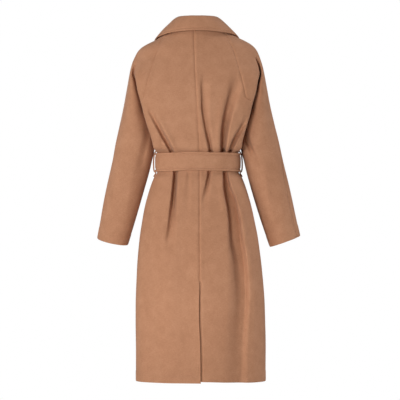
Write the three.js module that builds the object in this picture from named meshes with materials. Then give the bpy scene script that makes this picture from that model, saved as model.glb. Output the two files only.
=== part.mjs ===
// A belted wool coat, filled out as if worn, with nobody in it.
// Frame: millimetres, +Z up, the coat's front faces -Y and the wearer's left is +X.
// The origin is in the middle of the neck opening, level with the seam at the back of the neck.
//
// The cloth is one skin. Above the underarm a level section of it is a single outline, from the
// centre back over the arm to the centre front. Below the underarm the outline parts into the
// trunk's tube and the two sleeves' tubes. Each cut piece is the stretch of that skin between
// its own seams, given the thickness of the cloth.

import * as THREE from 'three';

// ---- Driving dimensions -------------------------------------------------------------------

const CLOTH = 2.5; // thickness of the wool
const SEAM_GAP = 0.3; // pieces stand this far apart where they are sewn together
const LAYER_GAP = 1.2; // air between two layers that lap

const UNDERARM_Z = -285;
const BELT_TOP = -408;
const BELT_BOTTOM = -467;
const BELT_THICKNESS = 4.2; // two layers of cloth, pressed
const BELT_EASE = 0.8; // from the coat to the belt's inside
const VENT_TOP = -817;
const VENT_LAP = 40; // how far the right half runs under the left one
const CUFF_Z = -690;
// A cuff is cut square to its sleeve, which hangs out from the trunk, so it tilts. It also dips at
// the back, by so much, and rises as much in front.
const CUFF = { left: { tilt: 0.21, dip: 7 }, right: { tilt: 0.36, dip: 1.5 } };
const HANG_FROM = -400; // a sleeve's sections tilt from here down to the cuff
const HEM_Z = -1130;
const NECK_FADE = 60; // below this the rows of every piece are level

// ---- Tables of sections -------------------------------------------------------------------

// Makes rows with named columns, and reads any column at any height along a smooth curve that
// never overshoots its rows (a monotone cubic).
function table(names, rows) {
  const z = rows.map((row) => row[0]);
  const columns = {};
  names.slice(1).forEach((name, k) => {
    const v = rows.map((row) => row[k + 1]);
    const secant = v.slice(1).map((next, i) => (next - v[i]) / (z[i + 1] - z[i]));
    const slope = v.map((_, i) => {
      const before = secant[i - 1];
      const after = secant[i];
      if (before === undefined || after === undefined) return before ?? after;
      return before * after <= 0 ? 0 : (2 * before * after) / (before + after);
    });
    columns[name] = { v, slope };
  });
  return (name, at) => {
    const { v, slope } = columns[name];
    if (at >= z[0]) return v[0];
    const last = z.length - 1;
    if (at <= z[last]) return v[last];
    const i = z.findIndex((level, k) => at <= level && at > z[k + 1]);
    const step = z[i + 1] - z[i];
    return hermite(v[i], v[i + 1], slope[i] * step, slope[i + 1] * step, (at - z[i]) / step);
  };
}

function hermite(a, b, slopeA, slopeB, t) {
  const s = 1 - t;
  return s * s * (1 + 2 * t) * a + t * t * (1 + 2 * s) * b + s * s * t * slopeA - t * t * s * slopeB;
}

// How far the skin stands behind and before the origin on the centre lines.
const CENTRE = table(['z', 'back', 'front'], [
  [8, 54, 46],
  [0, 60, 54],
  [-26, 71, 72],
  [-51, 79, 86],
  [-77, 87, 97],
  [-102, 93, 106],
  [-140, 101, 116],
  [-205, 109, 127],
  [-260, 110, 130],
  [-323, 106, 127],
  [-371, 101, 121],
  [-393, 97, 118],
  [BELT_TOP + 2, 87, 112],
  [BELT_BOTTOM - 2, 87, 112],
  [-486, 95, 117],
  [-525, 107, 124],
  [-576, 118, 130],
  [-627, 127, 136],
  [-678, 134, 140],
  [-781, 143, 146],
  [-896, 150, 151],
  [HEM_Z, 158, 157],
]);

// The trunk beside the centre: its crest is where the cloth turns from facing back (or front) to
// facing sideways, and its side is the side seam, or above the underarm the bottom of the crease
// between trunk and sleeve. x is from the centre, d is how far behind (or before) the origin.
const BACK_FLANK = table(['z', 'crestX', 'crestD', 'sideX', 'sideD'], [
  [-95, 165, 62, 176, 46],
  [-120, 197, 58, 203, 42],
  [-150, 200, 66, 202, 46],
  [-182, 193, 72, 192, 43],
  [-211, 188, 76, 183, 36],
  [-250, 177, 78, 168, 14],
  [UNDERARM_Z, 169, 76, 158, -20],
  [-323, 158, 72, 145, -16],
  [-371, 144, 66, 131, -12],
  [-393, 140, 54, 129, -10],
  [BELT_TOP + 2, 130.4, 27.5, 130, -8],
  [BELT_BOTTOM - 2, 130.4, 27.5, 130, -8],
  [-482, 138.5, 34, 138, -8],
  [-499, 146, 36, 145.5, -8],
  [-525, 155, 38, 154.5, -8],
  [-576, 169, 42, 168.5, -6],
  [-627, 179, 46, 178.5, -4],
  [-678, 188, 50, 187.5, -2],
  [-781, 199, 52, 198.5, 0],
  [-896, 205, 54, 204.5, 0],
  [HEM_Z, 206, 56, 205.5, 0],
]);
const FRONT_FLANK = table(['z', 'crestX', 'crestD', 'sideX', 'sideD'], [
  [-95, 165, 62, 176, 46],
  [-120, 196, 62, 203, 50],
  [-150, 198, 75, 201, 60],
  [-182, 189, 84, 190, 61],
  [-211, 183, 88, 182, 56],
  [-250, 172, 88, 168, 40],
  [UNDERARM_Z, 165, 85, 158, 20],
  [-323, 154, 82, 145, 16],
  [-371, 139, 76, 131, 12],
  [-393, 135, 64, 129, 10],
  [BELT_TOP + 2, 130.2, 38, 130, 8],
  [BELT_BOTTOM - 2, 130.2, 38, 130, 8],
  [-482, 138.5, 38, 138, 8],
  [-499, 146, 40, 145.5, 8],
  [-525, 155, 44, 154.5, 8],
  [-576, 169, 46, 168.5, 6],
  [-627, 179, 48, 178.5, 4],
  [-678, 188, 50, 187.5, 2],
  [-781, 199, 52, 198.5, 0],
  [-896, 205, 54, 204.5, 0],
  [HEM_Z, 206, 56, 205.5, 0],
]);

// The shoulder line and the outside of the arm.
const ARM_OUT = table(['z', 'x'], [
  [8, 74],
  [0, 84],
  [-12, 97],
  [-26, 111],
  [-38, 130],
  [-51, 157],
  [-64, 178],
  [-77, 190],
  [-90, 197],
  [-115, 206],
  [-141, 213],
  [-192, 223],
  [-256, 235],
  [-320, 249],
  [-371, 261],
  [-435, 274],
  [-512, 291],
  [-576, 304],
  [-640, 316],
  [CUFF_Z, 326],
]);
// The arm's back and front (y), and its inside (x), which only counts below the underarm.
const ARM = table(['z', 'back', 'front', 'inner'], [
  [-95, 60, -62, 158],
  [-140, 62, -76, 158],
  [-205, 57, -88, 158],
  [-250, 52, -90, 158],
  [UNDERARM_Z, 50, -90, 158],
  [-320, 48, -84, 150],
  [-371, 46, -78, 141],
  [-393, 45, -76, 139],
  [-410, 44, -75, 142],
  [-428, 43, -74, 147],
  [-445, 42, -74, 151],
  [-461, 42, -74, 155],
  [-499, 38, -75, 166],
  [-576, 29, -76, 190],
  [-640, 20, -75, 211],
  [CUFF_Z, 14, -74, 228],
]);

// Where the raglan seams run on the back and the front, until they turn in to the underarm.
const RAGLAN = table(['z', 'backLeft', 'backRight', 'front'], [
  [8, 54, 54, 58],
  [4, 58, 57, 61],
  [-5, 71, 69, 66],
  [-26, 90, 87, 82],
  [-47, 105, 99, 98],
  [-82, 125, 116, 122],
  [-140, 147, 133, 146],
  [-198, 163, 148, 160],
  [-227, 170, 156, 166],
  [UNDERARM_Z, 176, 170, 168],
]);
const RAGLAN_TURN = -205;

// Place of the seam over the arm, 2 being the arm's outermost line and 1 its back.
const OVERARM = table(['z', 'left', 'right'], [
  [-300, 2, 2],
  [-400, 1.94, 1.8],
  [-530, 1.88, 1.6],
  [CUFF_Z, 1.86, 1.56],
]);

// The free edges of the fronts, from the neck to the hem, x towards the other side negative.
const FRONT_EDGE = table(['z', 'x'], [
  [-5, 52],
  [-60, 43],
  [-120, 33],
  [-200, 18],
  [-290, -2],
  [-350, -24],
  [BELT_TOP, -50],
  [BELT_BOTTOM, -64],
  [-700, -80],
  [HEM_Z, -86],
]);

// The line of the centre-back seam, and below the vent's top of the left half's fold.
const CENTRE_BACK = table(['z', 'x'], [
  [8, 9],
  [-19, 9],
  [-128, 6.3],
  [-230, 1.5],
  [-330, -3.5],
  [-400, -5.6],
  [-470, -5],
  [-557, -4.7],
  [-685, -2.2],
  [VENT_TOP, 0.8],
  [VENT_TOP - 8, 4.8],
  [-930, 8],
  [-1010, 6],
  [HEM_Z, 4.5],
]);

// The coat hangs a little askew: where its middle is at each height.
const LEAN = table(['z', 'x'], [
  [40, 3.5],
  [-50, 5],
  [-250, 5],
  [-350, 4],
  [-437, 2],
  [-557, 1.5],
  [-685, -1],
  [-816, -4],
  [-940, -6],
  [-1040, -7.5],
  [HEM_Z, -7.5],
]);
const SHOULDER_DROP = 7; // how much lower the wearer's left shoulder is

// ---- Folds --------------------------------------------------------------------------------

// Each fold is a soft trough pressed into the skin. Its rows give the line that it follows (x is
// signed, the wearer's left positive), half the width of its floor, the run of each of its two
// slopes (towards -x and towards +x) and its depth.
const FOLD_COLUMNS = ['z', 'x', 'floor', 'slopeMinus', 'slopePlus', 'depth'];
const BACK_FOLDS = [
  // above the belt
  table(FOLD_COLUMNS, [
    [-230, 168, 1, 16, 14, 0],
    [-300, 138, 1, 14, 12, 5],
    [-355, 108, 1, 12, 10, 9],
    [-408, 83, 1, 9, 9, 10],
    [-409, 83, 1, 9, 9, 0],
  ]),
  table(FOLD_COLUMNS, [
    [-150, -22, 1, 26, 14, 0],
    [-230, -15, 1, 24, 12, 5],
    [-323, -24, 1, 18, 10, 8],
    [-408, -37, 1, 11, 8, 10],
    [-409, -37, 1, 11, 8, 0],
  ]),
  table(FOLD_COLUMNS, [
    [-170, -120, 3, 20, 26, 0],
    [-215, -110, 3, 20, 24, 8],
    [-285, -88, 3, 18, 18, 14],
    [-350, -78, 2, 14, 10, 15],
    [-408, -76, 1, 9, 8, 12],
    [-409, -76, 1, 9, 8, 0],
  ]),
  table(FOLD_COLUMNS, [
    [-290, -152, 1, 10, 14, 0],
    [-340, -126, 1, 10, 12, 8],
    [-408, -98, 1, 9, 8, 11],
    [-409, -98, 1, 9, 8, 0],
  ]),
  // below the belt
  table(FOLD_COLUMNS, [
    [-466, 74, 2, 9, 8, 0],
    [-467, 74, 2, 9, 8, 11],
    [-530, 79, 2, 11, 9, 14],
    [-600, 84, 2, 14, 11, 9],
    [-680, 92, 2, 20, 16, 0],
  ]),
  table(FOLD_COLUMNS, [
    [-466, -36, 1, 9, 9, 0],
    [-467, -36, 1, 9, 9, 8],
    [-528, -24, 1, 12, 12, 5],
    [-580, -16, 1, 16, 16, 0],
  ]),
  table(FOLD_COLUMNS, [
    [-466, -84, 4, 7, 6, 0],
    [-467, -84, 4, 7, 6, 14],
    [-520, -88, 8, 9, 8, 18],
    [-573, -103, 14, 9, 9, 21],
    [-621, -111, 14, 10, 11, 22],
    [-685, -119, 12, 12, 18, 22],
    [-736, -129, 8, 15, 28, 21],
    [-780, -135, 6, 17, 34, 20],
    [-850, -138, 5, 20, 38, 17],
    [-1000, -128, 4, 26, 42, 12],
    [HEM_Z, -124, 4, 30, 46, 9],
  ]),
];
const FRONT_FOLDS = [
  table(FOLD_COLUMNS, [
    [-300, 104, 1, 14, 16, 0],
    [-350, 94, 1, 12, 12, 6],
    [-408, 84, 1, 9, 9, 9],
    [-409, 84, 1, 9, 9, 0],
  ]),
  table(FOLD_COLUMNS, [
    [-270, -122, 1, 16, 14, 0],
    [-340, -102, 1, 12, 12, 7],
    [-408, -78, 1, 9, 9, 10],
    [-409, -78, 1, 9, 9, 0],
  ]),
  table(FOLD_COLUMNS, [
    [-466, 88, 2, 9, 9, 0],
    [-467, 88, 2, 9, 9, 11],
    [-560, 98, 4, 14, 14, 13],
    [-660, 108, 3, 20, 20, 6],
    [-760, 112, 3, 26, 26, 0],
  ]),
  table(FOLD_COLUMNS, [
    [-466, -96, 2, 9, 9, 0],
    [-467, -96, 2, 9, 9, 12],
    [-550, -114, 5, 14, 14, 14],
    [-680, -130, 4, 20, 24, 8],
    [-860, -136, 3, 30, 30, 0],
  ]),
];

const clamp01 = (t) => Math.min(1, Math.max(0, t));
const smooth = (from, to, at) => {
  const t = clamp01((at - from) / (to - from));
  return t * t * (3 - 2 * t);
};
const mix = (a, b, t) => a + (b - a) * t;

// How deep the folds of one face are at a place.
function foldDepth(face, x, z) {
  let depth = 0;
  for (const fold of face === 'back' ? BACK_FOLDS : FRONT_FOLDS) {
    const most = fold('depth', z);
    if (most <= 0) continue;
    const off = x + LEAN('x', z) - fold('x', z);
    const run = off < 0 ? fold('slopeMinus', z) : fold('slopePlus', z);
    depth += most * smooth(run, 0, Math.abs(off) - fold('floor', z));
  }
  return depth;
}

// ---- The skin -----------------------------------------------------------------------------

const FULLNESS = 0.6; // how square the trunk's corners are; an ellipse has 0.5523
const ARM_FULLNESS = 0.56;

// Above the chest the outline is half an ellipse. These are the angles round it, from the centre
// back or front, of the places that lower down become the crest, the crease and the arm's back.
const DOME_ANGLE = { centre: 0, crest: 58, side: 67, arm: 77, out: 90 };
const DOME_TOP = -90;
const DOME_END = -190;
const domeShare = (z) => 1 - smooth(DOME_TOP, DOME_END, z);

function dome(face, place, z) {
  const angle = (DOME_ANGLE[place] * Math.PI) / 180;
  const a = ARM_OUT('x', z);
  const d = CENTRE(face, z);
  return {
    at: [a * Math.sin(angle), d * Math.cos(angle)],
    turn: [a * Math.cos(angle), -d * Math.sin(angle)],
  };
}

// One stretch of an outline between two places, t from 0 to 1. from and to hold the point of each
// end, and leave and arrive the direction and speed there.
function stretch(face, z, t, places, ends, leave, arrive) {
  const share = domeShare(z);
  const [domeA, domeB] = places.map((place) => dome(face, place, z));
  const span = ((DOME_ANGLE[places[1]] - DOME_ANGLE[places[0]]) * Math.PI) / 180;
  return [0, 1].map((k) => {
    const parted = hermite(ends[0][k], ends[1][k], leave[k], arrive[k], t);
    const round = hermite(domeA.at[k], domeB.at[k], domeA.turn[k] * span, domeB.turn[k] * span, t);
    return mix(parted, round, share);
  });
}

// The side of the trunk: one line below the underarm, and the bottom of each crease above it.
function sidePoint(face, z) {
  if (z > UNDERARM_Z && face === 'front') return [FRONT_FLANK('sideX', z), FRONT_FLANK('sideD', z)];
  return [BACK_FLANK('sideX', z), (face === 'back' ? 1 : -1) * BACK_FLANK('sideD', z)];
}

// The trunk's outline on one face: q is 0 on the centre line, 1 at the crest and 2 at the side.
// Returns [x, d] for the half with x positive.
function trunk(face, q, z) {
  const flank = face === 'back' ? BACK_FLANK : FRONT_FLANK;
  const centre = [0, CENTRE(face, z)];
  const crest = [flank('crestX', z), flank('crestD', z)];
  const side = sidePoint(face, z);
  const round = 3 * FULLNESS;
  if (q <= 1) {
    const leave = [round * crest[0], 0];
    const arrive = [0, round * (crest[1] - centre[1])];
    return stretch(face, z, q, ['centre', 'crest'], [centre, crest], leave, arrive);
  }
  const fall = side[1] - crest[1];
  const creased = smooth(UNDERARM_Z - 20, UNDERARM_Z + 40, z);
  const arrive = [creased * (side[0] - crest[0]), fall];
  return stretch(face, z, q - 1, ['crest', 'side'], [crest, side], [0, fall], arrive);
}

// The arm's outline on one face: r is 0 at the crease or the underarm seam, 1 at the arm's back
// or front, and 2 at its outermost line.
function arm(face, r, z) {
  const sign = face === 'back' ? 1 : -1;
  const backD = sign * ARM(face, z);
  const midD = (sign * (ARM('back', z) + ARM('front', z))) / 2;
  const out = [ARM_OUT('x', z), midD];
  const below = z < UNDERARM_Z;
  const seam = below ? [ARM('inner', z), midD] : sidePoint(face, z);
  const back = [(seam[0] + out[0]) / 2, backD];
  const round = 3 * ARM_FULLNESS;
  if (r <= 1) {
    const creased = smooth(UNDERARM_Z - 20, UNDERARM_Z + 40, z);
    const run = back[0] - seam[0];
    const rise = back[1] - seam[1];
    const leave = [creased * run, mix(round, 1, creased) * rise];
    return stretch(face, z, r, ['side', 'arm'], [seam, back], leave, [round * run, 0]);
  }
  const leave = [round * (out[0] - back[0]), 0];
  const arrive = [0, round * (out[1] - back[1])];
  return stretch(face, z, r - 1, ['arm', 'out'], [back, out], leave, arrive);
}

// A level section of half the skin, for the half with x positive. s counts its places from the
// centre back to the centre front: 0 centre back, 1 back crest, 2 back crease, 3 arm's back,
// 4 outermost line, 5 arm's front, 6 front crease, 7 front crest, 8 centre front. Below the
// underarm the trunk's tube joins 2 to 6 at the side seam, and the sleeve's tube joins them at the
// underarm seam, so what lies past a seam depends on the tube.
const CENTRE_FRONT = 8;
const SIDE = { back: 2, front: 6 };

function placeOnSkin(side, tube, s, z, folded = true) {
  if (s < 0) return placeOnSkin(-side, tube, -s, z, folded);
  if (s > CENTRE_FRONT) return placeOnSkin(-side, tube, 2 * CENTRE_FRONT - s, z, folded);
  let at = s;
  if (z <= UNDERARM_Z) {
    const across = SIDE.front - SIDE.back;
    if (tube === 'trunk' && s > SIDE.back && s < SIDE.front) at += s < 4 ? across : -across;
    if (tube === 'sleeve' && s < SIDE.back) at += across;
    if (tube === 'sleeve' && s > SIDE.front) at -= across;
  }
  const face = at <= 4 ? 'back' : 'front';
  const q = face === 'back' ? at : CENTRE_FRONT - at;
  const onArm = tube === 'sleeve' ? q >= 2 : q > 2;
  const [x, d] = onArm ? arm(face, q - 2, z) : trunk(face, q, z);
  const fold = folded && !onArm ? foldDepth(face, side * x, z) * smooth(1.9, 1.3, q) : 0;
  const point = new THREE.Vector3(side * x, face === 'back' ? d - fold : fold - d, z);
  if (tube === 'sleeve') {
    const middle = (ARM('inner', z) + ARM_OUT('x', z)) / 2;
    const middleY = (ARM('back', z) + ARM('front', z)) / 2;
    const { tilt, dip } = CUFF[side > 0 ? 'left' : 'right'];
    const behind = (2 * (point.y - middleY)) / (ARM('back', z) - ARM('front', z));
    point.z += (tilt * (x - middle) - dip * behind) * smooth(HANG_FROM, CUFF_Z, z);
  }
  return point;
}

// How far along the outline, from the centre line, a distance from the centre line is reached.
function trunkAt(face, x, z) {
  let low = 0;
  let high = 1;
  for (let i = 0; i < 30; i += 1) {
    const middle = (low + high) / 2;
    if (trunk(face, middle, z)[0] < x) low = middle;
    else high = middle;
  }
  return low;
}

// The raglan seam, as steps from the centre line: its own line, then round into the underarm.
function raglanAt(side, face, z) {
  if (z <= UNDERARM_Z) return 2;
  const column = face === 'front' ? face : `back${side > 0 ? 'Left' : 'Right'}`;
  return mix(trunkAt(face, RAGLAN(column, z), z), 2, smooth(RAGLAN_TURN, UNDERARM_Z, z));
}

// ---- Making solids ------------------------------------------------------------------------

// Points at equal steps along a row, with half a seam's gap left out at both ends.
function spread(points, count, gap = SEAM_GAP / 2) {
  const lengths = [0];
  points.slice(1).forEach((p, i) => lengths.push(lengths[i] + p.distanceTo(points[i])));
  const total = lengths[lengths.length - 1];
  const row = [];
  let i = 0;
  for (let k = 0; k <= count; k += 1) {
    const at = mix(gap, total - gap, k / count);
    while (i < points.length - 2 && lengths[i + 1] < at) i += 1;
    const t = (at - lengths[i]) / (lengths[i + 1] - lengths[i]);
    row.push(points[i].clone().lerp(points[i + 1], t));
  }
  return row;
}

// The outward directions of a grid of points. ends, where given, holds for each row the direction
// along it at its first and last point, measured across the seam, so that both pieces that meet
// at the seam have the same one.
function normals(rows, out, ends) {
  const last = rows.length - 1;
  const end = rows[0].length - 1;
  return rows.map((row, i) => row.map((_, j) => {
    const down = rows[Math.min(i + 1, last)][j].clone().sub(rows[Math.max(i - 1, 0)][j]);
    let along = row[Math.min(j + 1, end)].clone().sub(row[Math.max(j - 1, 0)]);
    if (ends && j === 0) along = ends[i][0].clone();
    if (ends && j === end) along = ends[i][1].clone();
    return along.cross(down).normalize().multiplyScalar(out);
  }));
}

const FINE = 72; // steps in which a row is measured
const BESIDE = 0.04; // how far along an outline counts as beside a seam

// One row of a piece between two places of the outline, from one seam to the other. place gives
// the skin's point at a place s of the outline, and the share of the row that it lies at.
function pieceRow(place, from, to, columns) {
  const at = (s) => place(s, clamp01((s - from) / (to - from)));
  const points = [];
  for (let k = 0; k <= FINE; k += 1) points.push(at(mix(from, to, k / FINE)));
  const beside = BESIDE * Math.sign(to - from);
  const ends = [from, to].map((s) => at(s + beside).sub(at(s - beside)));
  return { points: spread(points, columns), ends };
}

// Closes the space between two grids of the same size into one solid. outer is seen from outside.
function solidBetween(outer, inner, out) {
  const rows = outer.length;
  const columns = outer[0].length;
  const position = [];
  for (const grid of [outer, inner]) grid.flat().forEach((p) => position.push(p.x, p.y, p.z));
  const id = (layer, i, j) => (layer * rows + i) * columns + j;
  const index = [];
  const quad = (a, b, c, d) => {
    if (out > 0) index.push(a, b, c, a, c, d);
    else index.push(a, c, b, a, d, c);
  };
  for (let i = 0; i < rows - 1; i += 1) {
    for (let j = 0; j < columns - 1; j += 1) {
      quad(id(0, i, j), id(0, i, j + 1), id(0, i + 1, j + 1), id(0, i + 1, j));
      quad(id(1, i, j), id(1, i + 1, j), id(1, i + 1, j + 1), id(1, i, j + 1));
    }
    const j = columns - 1;
    quad(id(0, i, 0), id(0, i + 1, 0), id(1, i + 1, 0), id(1, i, 0));
    quad(id(0, i, j), id(1, i, j), id(1, i + 1, j), id(0, i + 1, j));
  }
  for (let j = 0; j < columns - 1; j += 1) {
    const i = rows - 1;
    quad(id(0, 0, j + 1), id(0, 0, j), id(1, 0, j), id(1, 0, j + 1));
    quad(id(0, i, j), id(0, i, j + 1), id(1, i, j + 1), id(1, i, j));
  }
  const geometry = new THREE.BufferGeometry();
  geometry.setAttribute('position', new THREE.Float32BufferAttribute(position, 3));
  geometry.setIndex(index);
  geometry.computeVertexNormals();
  return geometry;
}

// A piece of cloth whose outer face is a grid of points. out is 1 where the grid, seen from
// outside with its first row on top, runs from right to left, and -1 the other way.
function cloth(rows, out, { thickness = CLOTH, ends } = {}) {
  const outward = normals(rows, out, ends);
  const inner = rows.map((row, i) => row.map((p, j) =>
    p.clone().addScaledVector(outward[i][j], -thickness)));
  return solidBetween(rows, inner, out);
}

const clothOf = (rows, out) => cloth(rows.map((row) => row.points), out, {
  ends: rows.map((row) => row.ends),
});

// The height of a place in a row. The top row follows the neckline's rise, and lower rows
// level out.
const heightIn = (level, rise) => level + rise * clamp01(1 + level / NECK_FADE);

// Pieces that meet at a seam have their rows at the same levels.
const YOKE_LEVELS = [0, -20, -42, -66, -92, -120, -150, -180, -208, -232, -252, -270, UNDERARM_Z];
const TRUNK_LEVELS = [
  ...YOKE_LEVELS, -308, -335, -358, -376, -392, BELT_TOP, -438, BELT_BOTTOM, -480, -496, -516,
  -542, -572, -606, -646, -694, -755, VENT_TOP + 6, VENT_TOP, VENT_TOP - 8, -900, -1010, HEM_Z,
];

// ---- Trunk --------------------------------------------------------------------------------

const BACK_COLUMNS = 19;
const NECK_RISE_BACK = 4; // from the centre back to the raglan seam
const VENT_EDGE = -4; // the left half's free edge hangs this far over the centre-back line

// How far the right half is pressed in under the left one, and how far it runs across.
function ventUnderlap(level) {
  return {
    inward: (CLOTH + LAYER_GAP) * smooth(VENT_TOP + 7, VENT_TOP, level),
    across: VENT_LAP * smooth(VENT_TOP - 1, VENT_TOP - 8, level),
  };
}

function backRow(side, level) {
  const place = (s, share) =>
    placeOnSkin(side, 'trunk', s, heightIn(level, NECK_RISE_BACK * share * share));
  const seam = CENTRE_BACK('x', level);
  const from = side * Math.sign(seam) * trunkAt('back', Math.abs(seam), level);
  const to = raglanAt(side, 'back', heightIn(level, NECK_RISE_BACK));
  return pieceRow(place, from, to, BACK_COLUMNS);
}

// The left half's rows below the vent's top run a little past the centre line.
function backLeft() {
  const rows = TRUNK_LEVELS.map((level) => {
    const row = backRow(1, level);
    row.points[0].x += VENT_EDGE * smooth(VENT_TOP, VENT_TOP - 8, level);
    return row;
  });
  return clothOf(rows, 1);
}

// The right half's first columns turn in under the left one and cross to the vent's hidden edge.
function backRight() {
  const under = VENT_EDGE - 2; // here the cloth is fully under the left half's edge
  const bend = under - 6; // and here it starts to turn in
  const squeezed = 2.6; // spacing of the same columns where they don't cross yet
  const rows = TRUNK_LEVELS.map((level) => {
    const row = backRow(-1, level);
    const { inward, across } = ventUnderlap(level);
    if (inward === 0) return row;
    const { x: edge, z } = row.points[0];
    const crossing = [across, across / 2, under, bend, bend - 5];
    crossing.forEach((away, j) => {
      const x = across > 0 ? CENTRE_BACK('x', level) + away : edge - j * squeezed;
      const place = placeOnSkin(Math.sign(x), 'trunk', trunkAt('back', Math.abs(x), z), z);
      if (j < 3) place.y -= inward;
      row.points[j] = place;
    });
    return row;
  });
  return clothOf(rows, -1);
}

const FRONT_COLUMNS = 12;
const NECK_RISE_FRONT = -5;

// How far the left front, which lies beneath, is pressed in under the right one.
function underRight(x, z) {
  const edge = -FRONT_EDGE('x', z); // the right front's free edge
  return (CLOTH + LAYER_GAP) * smooth(edge + 16, edge + 5, x);
}

function front(side) {
  const rows = TRUNK_LEVELS.map((level) => {
    const z = heightIn(level, NECK_RISE_FRONT);
    const edge = FRONT_EDGE('x', z);
    const place = (s) => {
      const point = placeOnSkin(side, 'trunk', s, z);
      if (side > 0) point.y += underRight(point.x, z);
      return point;
    };
    const from = CENTRE_FRONT - Math.sign(edge) * trunkAt('front', Math.abs(edge), z);
    return pieceRow(place, from, CENTRE_FRONT - raglanAt(side, 'front', z), FRONT_COLUMNS);
  });
  return clothOf(rows, -side);
}

// ---- Sleeves ------------------------------------------------------------------------------

const SLEEVE_COLUMNS = 10;
const SLEEVE_LEVELS = [
  ...YOKE_LEVELS, -300, -325, -355, -385, -415, -450, -495, -545, -595, -645, CUFF_Z,
];
const NECK_RISE_SHOULDER = 8;

function sleeveHalf(side, face) {
  const seamRise = face === 'back' ? NECK_RISE_BACK : NECK_RISE_FRONT;
  const rows = SLEEVE_LEVELS.map((level) => {
    const place = (s, share) =>
      placeOnSkin(side, 'sleeve', s, heightIn(level, mix(seamRise, NECK_RISE_SHOULDER, share)));
    const steps = raglanAt(side, face, heightIn(level, seamRise));
    const over = 2 + OVERARM(side > 0 ? 'left' : 'right', level);
    return pieceRow(place, face === 'back' ? steps : CENTRE_FRONT - steps, over, SLEEVE_COLUMNS);
  });
  return clothOf(rows, face === 'back' ? side : -side);
}

// ---- Collar -------------------------------------------------------------------------------

// Half of the collar, a row for each section from the centre back round to the end of the
// turned-back edge. The section rises from the neck seam to the roll, and falls to its edge.
const COLLAR_ROWS = [
  { seam: [0, 58.8, 0.5], roll: [0, 61, 27], edge: [0, 76, -20.5], puff: 4 },
  { seam: [30, 54.5, 1.7], roll: [24, 57, 27], edge: [37, 73, -21.5], puff: 4 },
  { seam: [57, 40, 4.7], roll: [44, 45, 27], edge: [74, 59, -24.5], puff: 5 },
  { seam: [69.5, 20, 7.4], roll: [55, 24, 27.5], edge: [106, 38, -27.5], puff: 5 },
  { seam: [73.5, -2, 9], roll: [60, -2, 27], edge: [129, 0, -32.5], puff: 5 },
  { seam: [72, -22, 3.5], roll: [59, -32, 18], edge: [137, -44, -45], puff: 6 },
  { seam: [64, -38.5, -2.8], roll: [54.5, -56, 6], edge: [134, -72, -65], puff: 8 },
  { seam: [49.8, -47.8, -2.9], roll: [51, -67, -7], edge: [129, -86, -87], puff: 9 },
  { seam: [48, -51, -12], roll: [48, -74, -18], edge: [125, -96, -106], puff: 9 },
  { seam: [44.5, -72, -38], roll: [43, -89, -40], edge: [115, -108, -134], puff: 9 },
  { seam: [39, -91, -72], roll: [36, -107, -72], edge: [101, -119, -160], puff: 8 },
  { seam: [30.9, -109.8, -122], roll: [28, -123, -122], edge: [80, -131, -198], puff: 7 },
  { seam: [21.5, -120.6, -174], roll: [19, -133, -174], edge: [55, -138, -233], puff: 5 },
  { seam: [11.5, -126.9, -222], roll: [10.5, -138, -222], edge: [29, -141, -258], puff: 3 },
  { seam: [2.8, -128.8, -260], roll: [2.6, -139.5, -260], edge: [9, -141.5, -277], puff: 1 },
];
const COLLAR_SECTIONS = 17; // on each side of the centre back
const COLLAR_STEPS = 10; // along a section
const COLLAR_ROLL = 3.2; // how far the fall stands off the stand at the roll

const vector = ([x, y, z]) => new THREE.Vector3(x, y, z);

// The middle of the collar's cloth in one section, from the neck seam to the edge.
function collarSection(seam, roll, edge, puff) {
  const lean = edge.clone().sub(roll).setZ(0).normalize();
  const up = new THREE.Vector3(0, 0, 1);
  const fall = edge.clone().sub(roll);
  const bulge = fall.clone().cross(lean.clone().cross(up)).normalize();
  if (bulge.dot(lean) < 0) bulge.negate();
  const inside = seam.clone().lerp(roll, 0.82);
  const outside = roll.clone().lerp(edge, 0.1).addScaledVector(bulge, COLLAR_ROLL);
  const middle = roll.clone().lerp(edge, 0.5).addScaledVector(bulge, puff);
  const lower = roll.clone().lerp(edge, 0.8).addScaledVector(bulge, puff * 0.55);
  const curve = new THREE.CatmullRomCurve3(
    [seam, inside, roll, outside, middle, lower, edge], false, 'centripetal');
  return spread(curve.getPoints(FINE), COLLAR_STEPS, 0);
}

function collar() {
  const line = (name) => {
    const half = COLLAR_ROWS.map((row) => vector(row[name]));
    const mirrored = half.slice(1).reverse().map((p) => new THREE.Vector3(-p.x, p.y, p.z));
    return new THREE.CatmullRomCurve3([...mirrored, ...half], false, 'centripetal');
  };
  const [seam, roll, edge] = ['seam', 'roll', 'edge'].map(line);
  const puffs = COLLAR_ROWS.map((row) => row.puff);
  const rows = [];
  for (let k = -COLLAR_SECTIONS; k <= COLLAR_SECTIONS; k += 1) {
    const c = k / COLLAR_SECTIONS;
    const at = Math.abs(c) * (puffs.length - 1);
    const i = Math.min(puffs.length - 2, Math.floor(at));
    const t = (c + 1) / 2;
    rows.push(collarSection(
      seam.getPoint(t), roll.getPoint(t), edge.getPoint(t), mix(puffs[i], puffs[i + 1], at - i)));
  }
  const outward = normals(rows, -1);
  const shifted = (by) => rows.map((row, i) => row.map((p, j) =>
    p.clone().addScaledVector(outward[i][j], by)));
  return solidBetween(shifted(CLOTH / 2), shifted(-CLOTH / 2), -1);
}

// ---- Belt ---------------------------------------------------------------------------------

const BELT_STEPS = 14; // in each quarter of its ring
const KNOT = { x: 10, width: 50, height: 50, depth: 22 };
const LOOP = { y: -10, width: 8, thickness: 2.2 };

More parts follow.
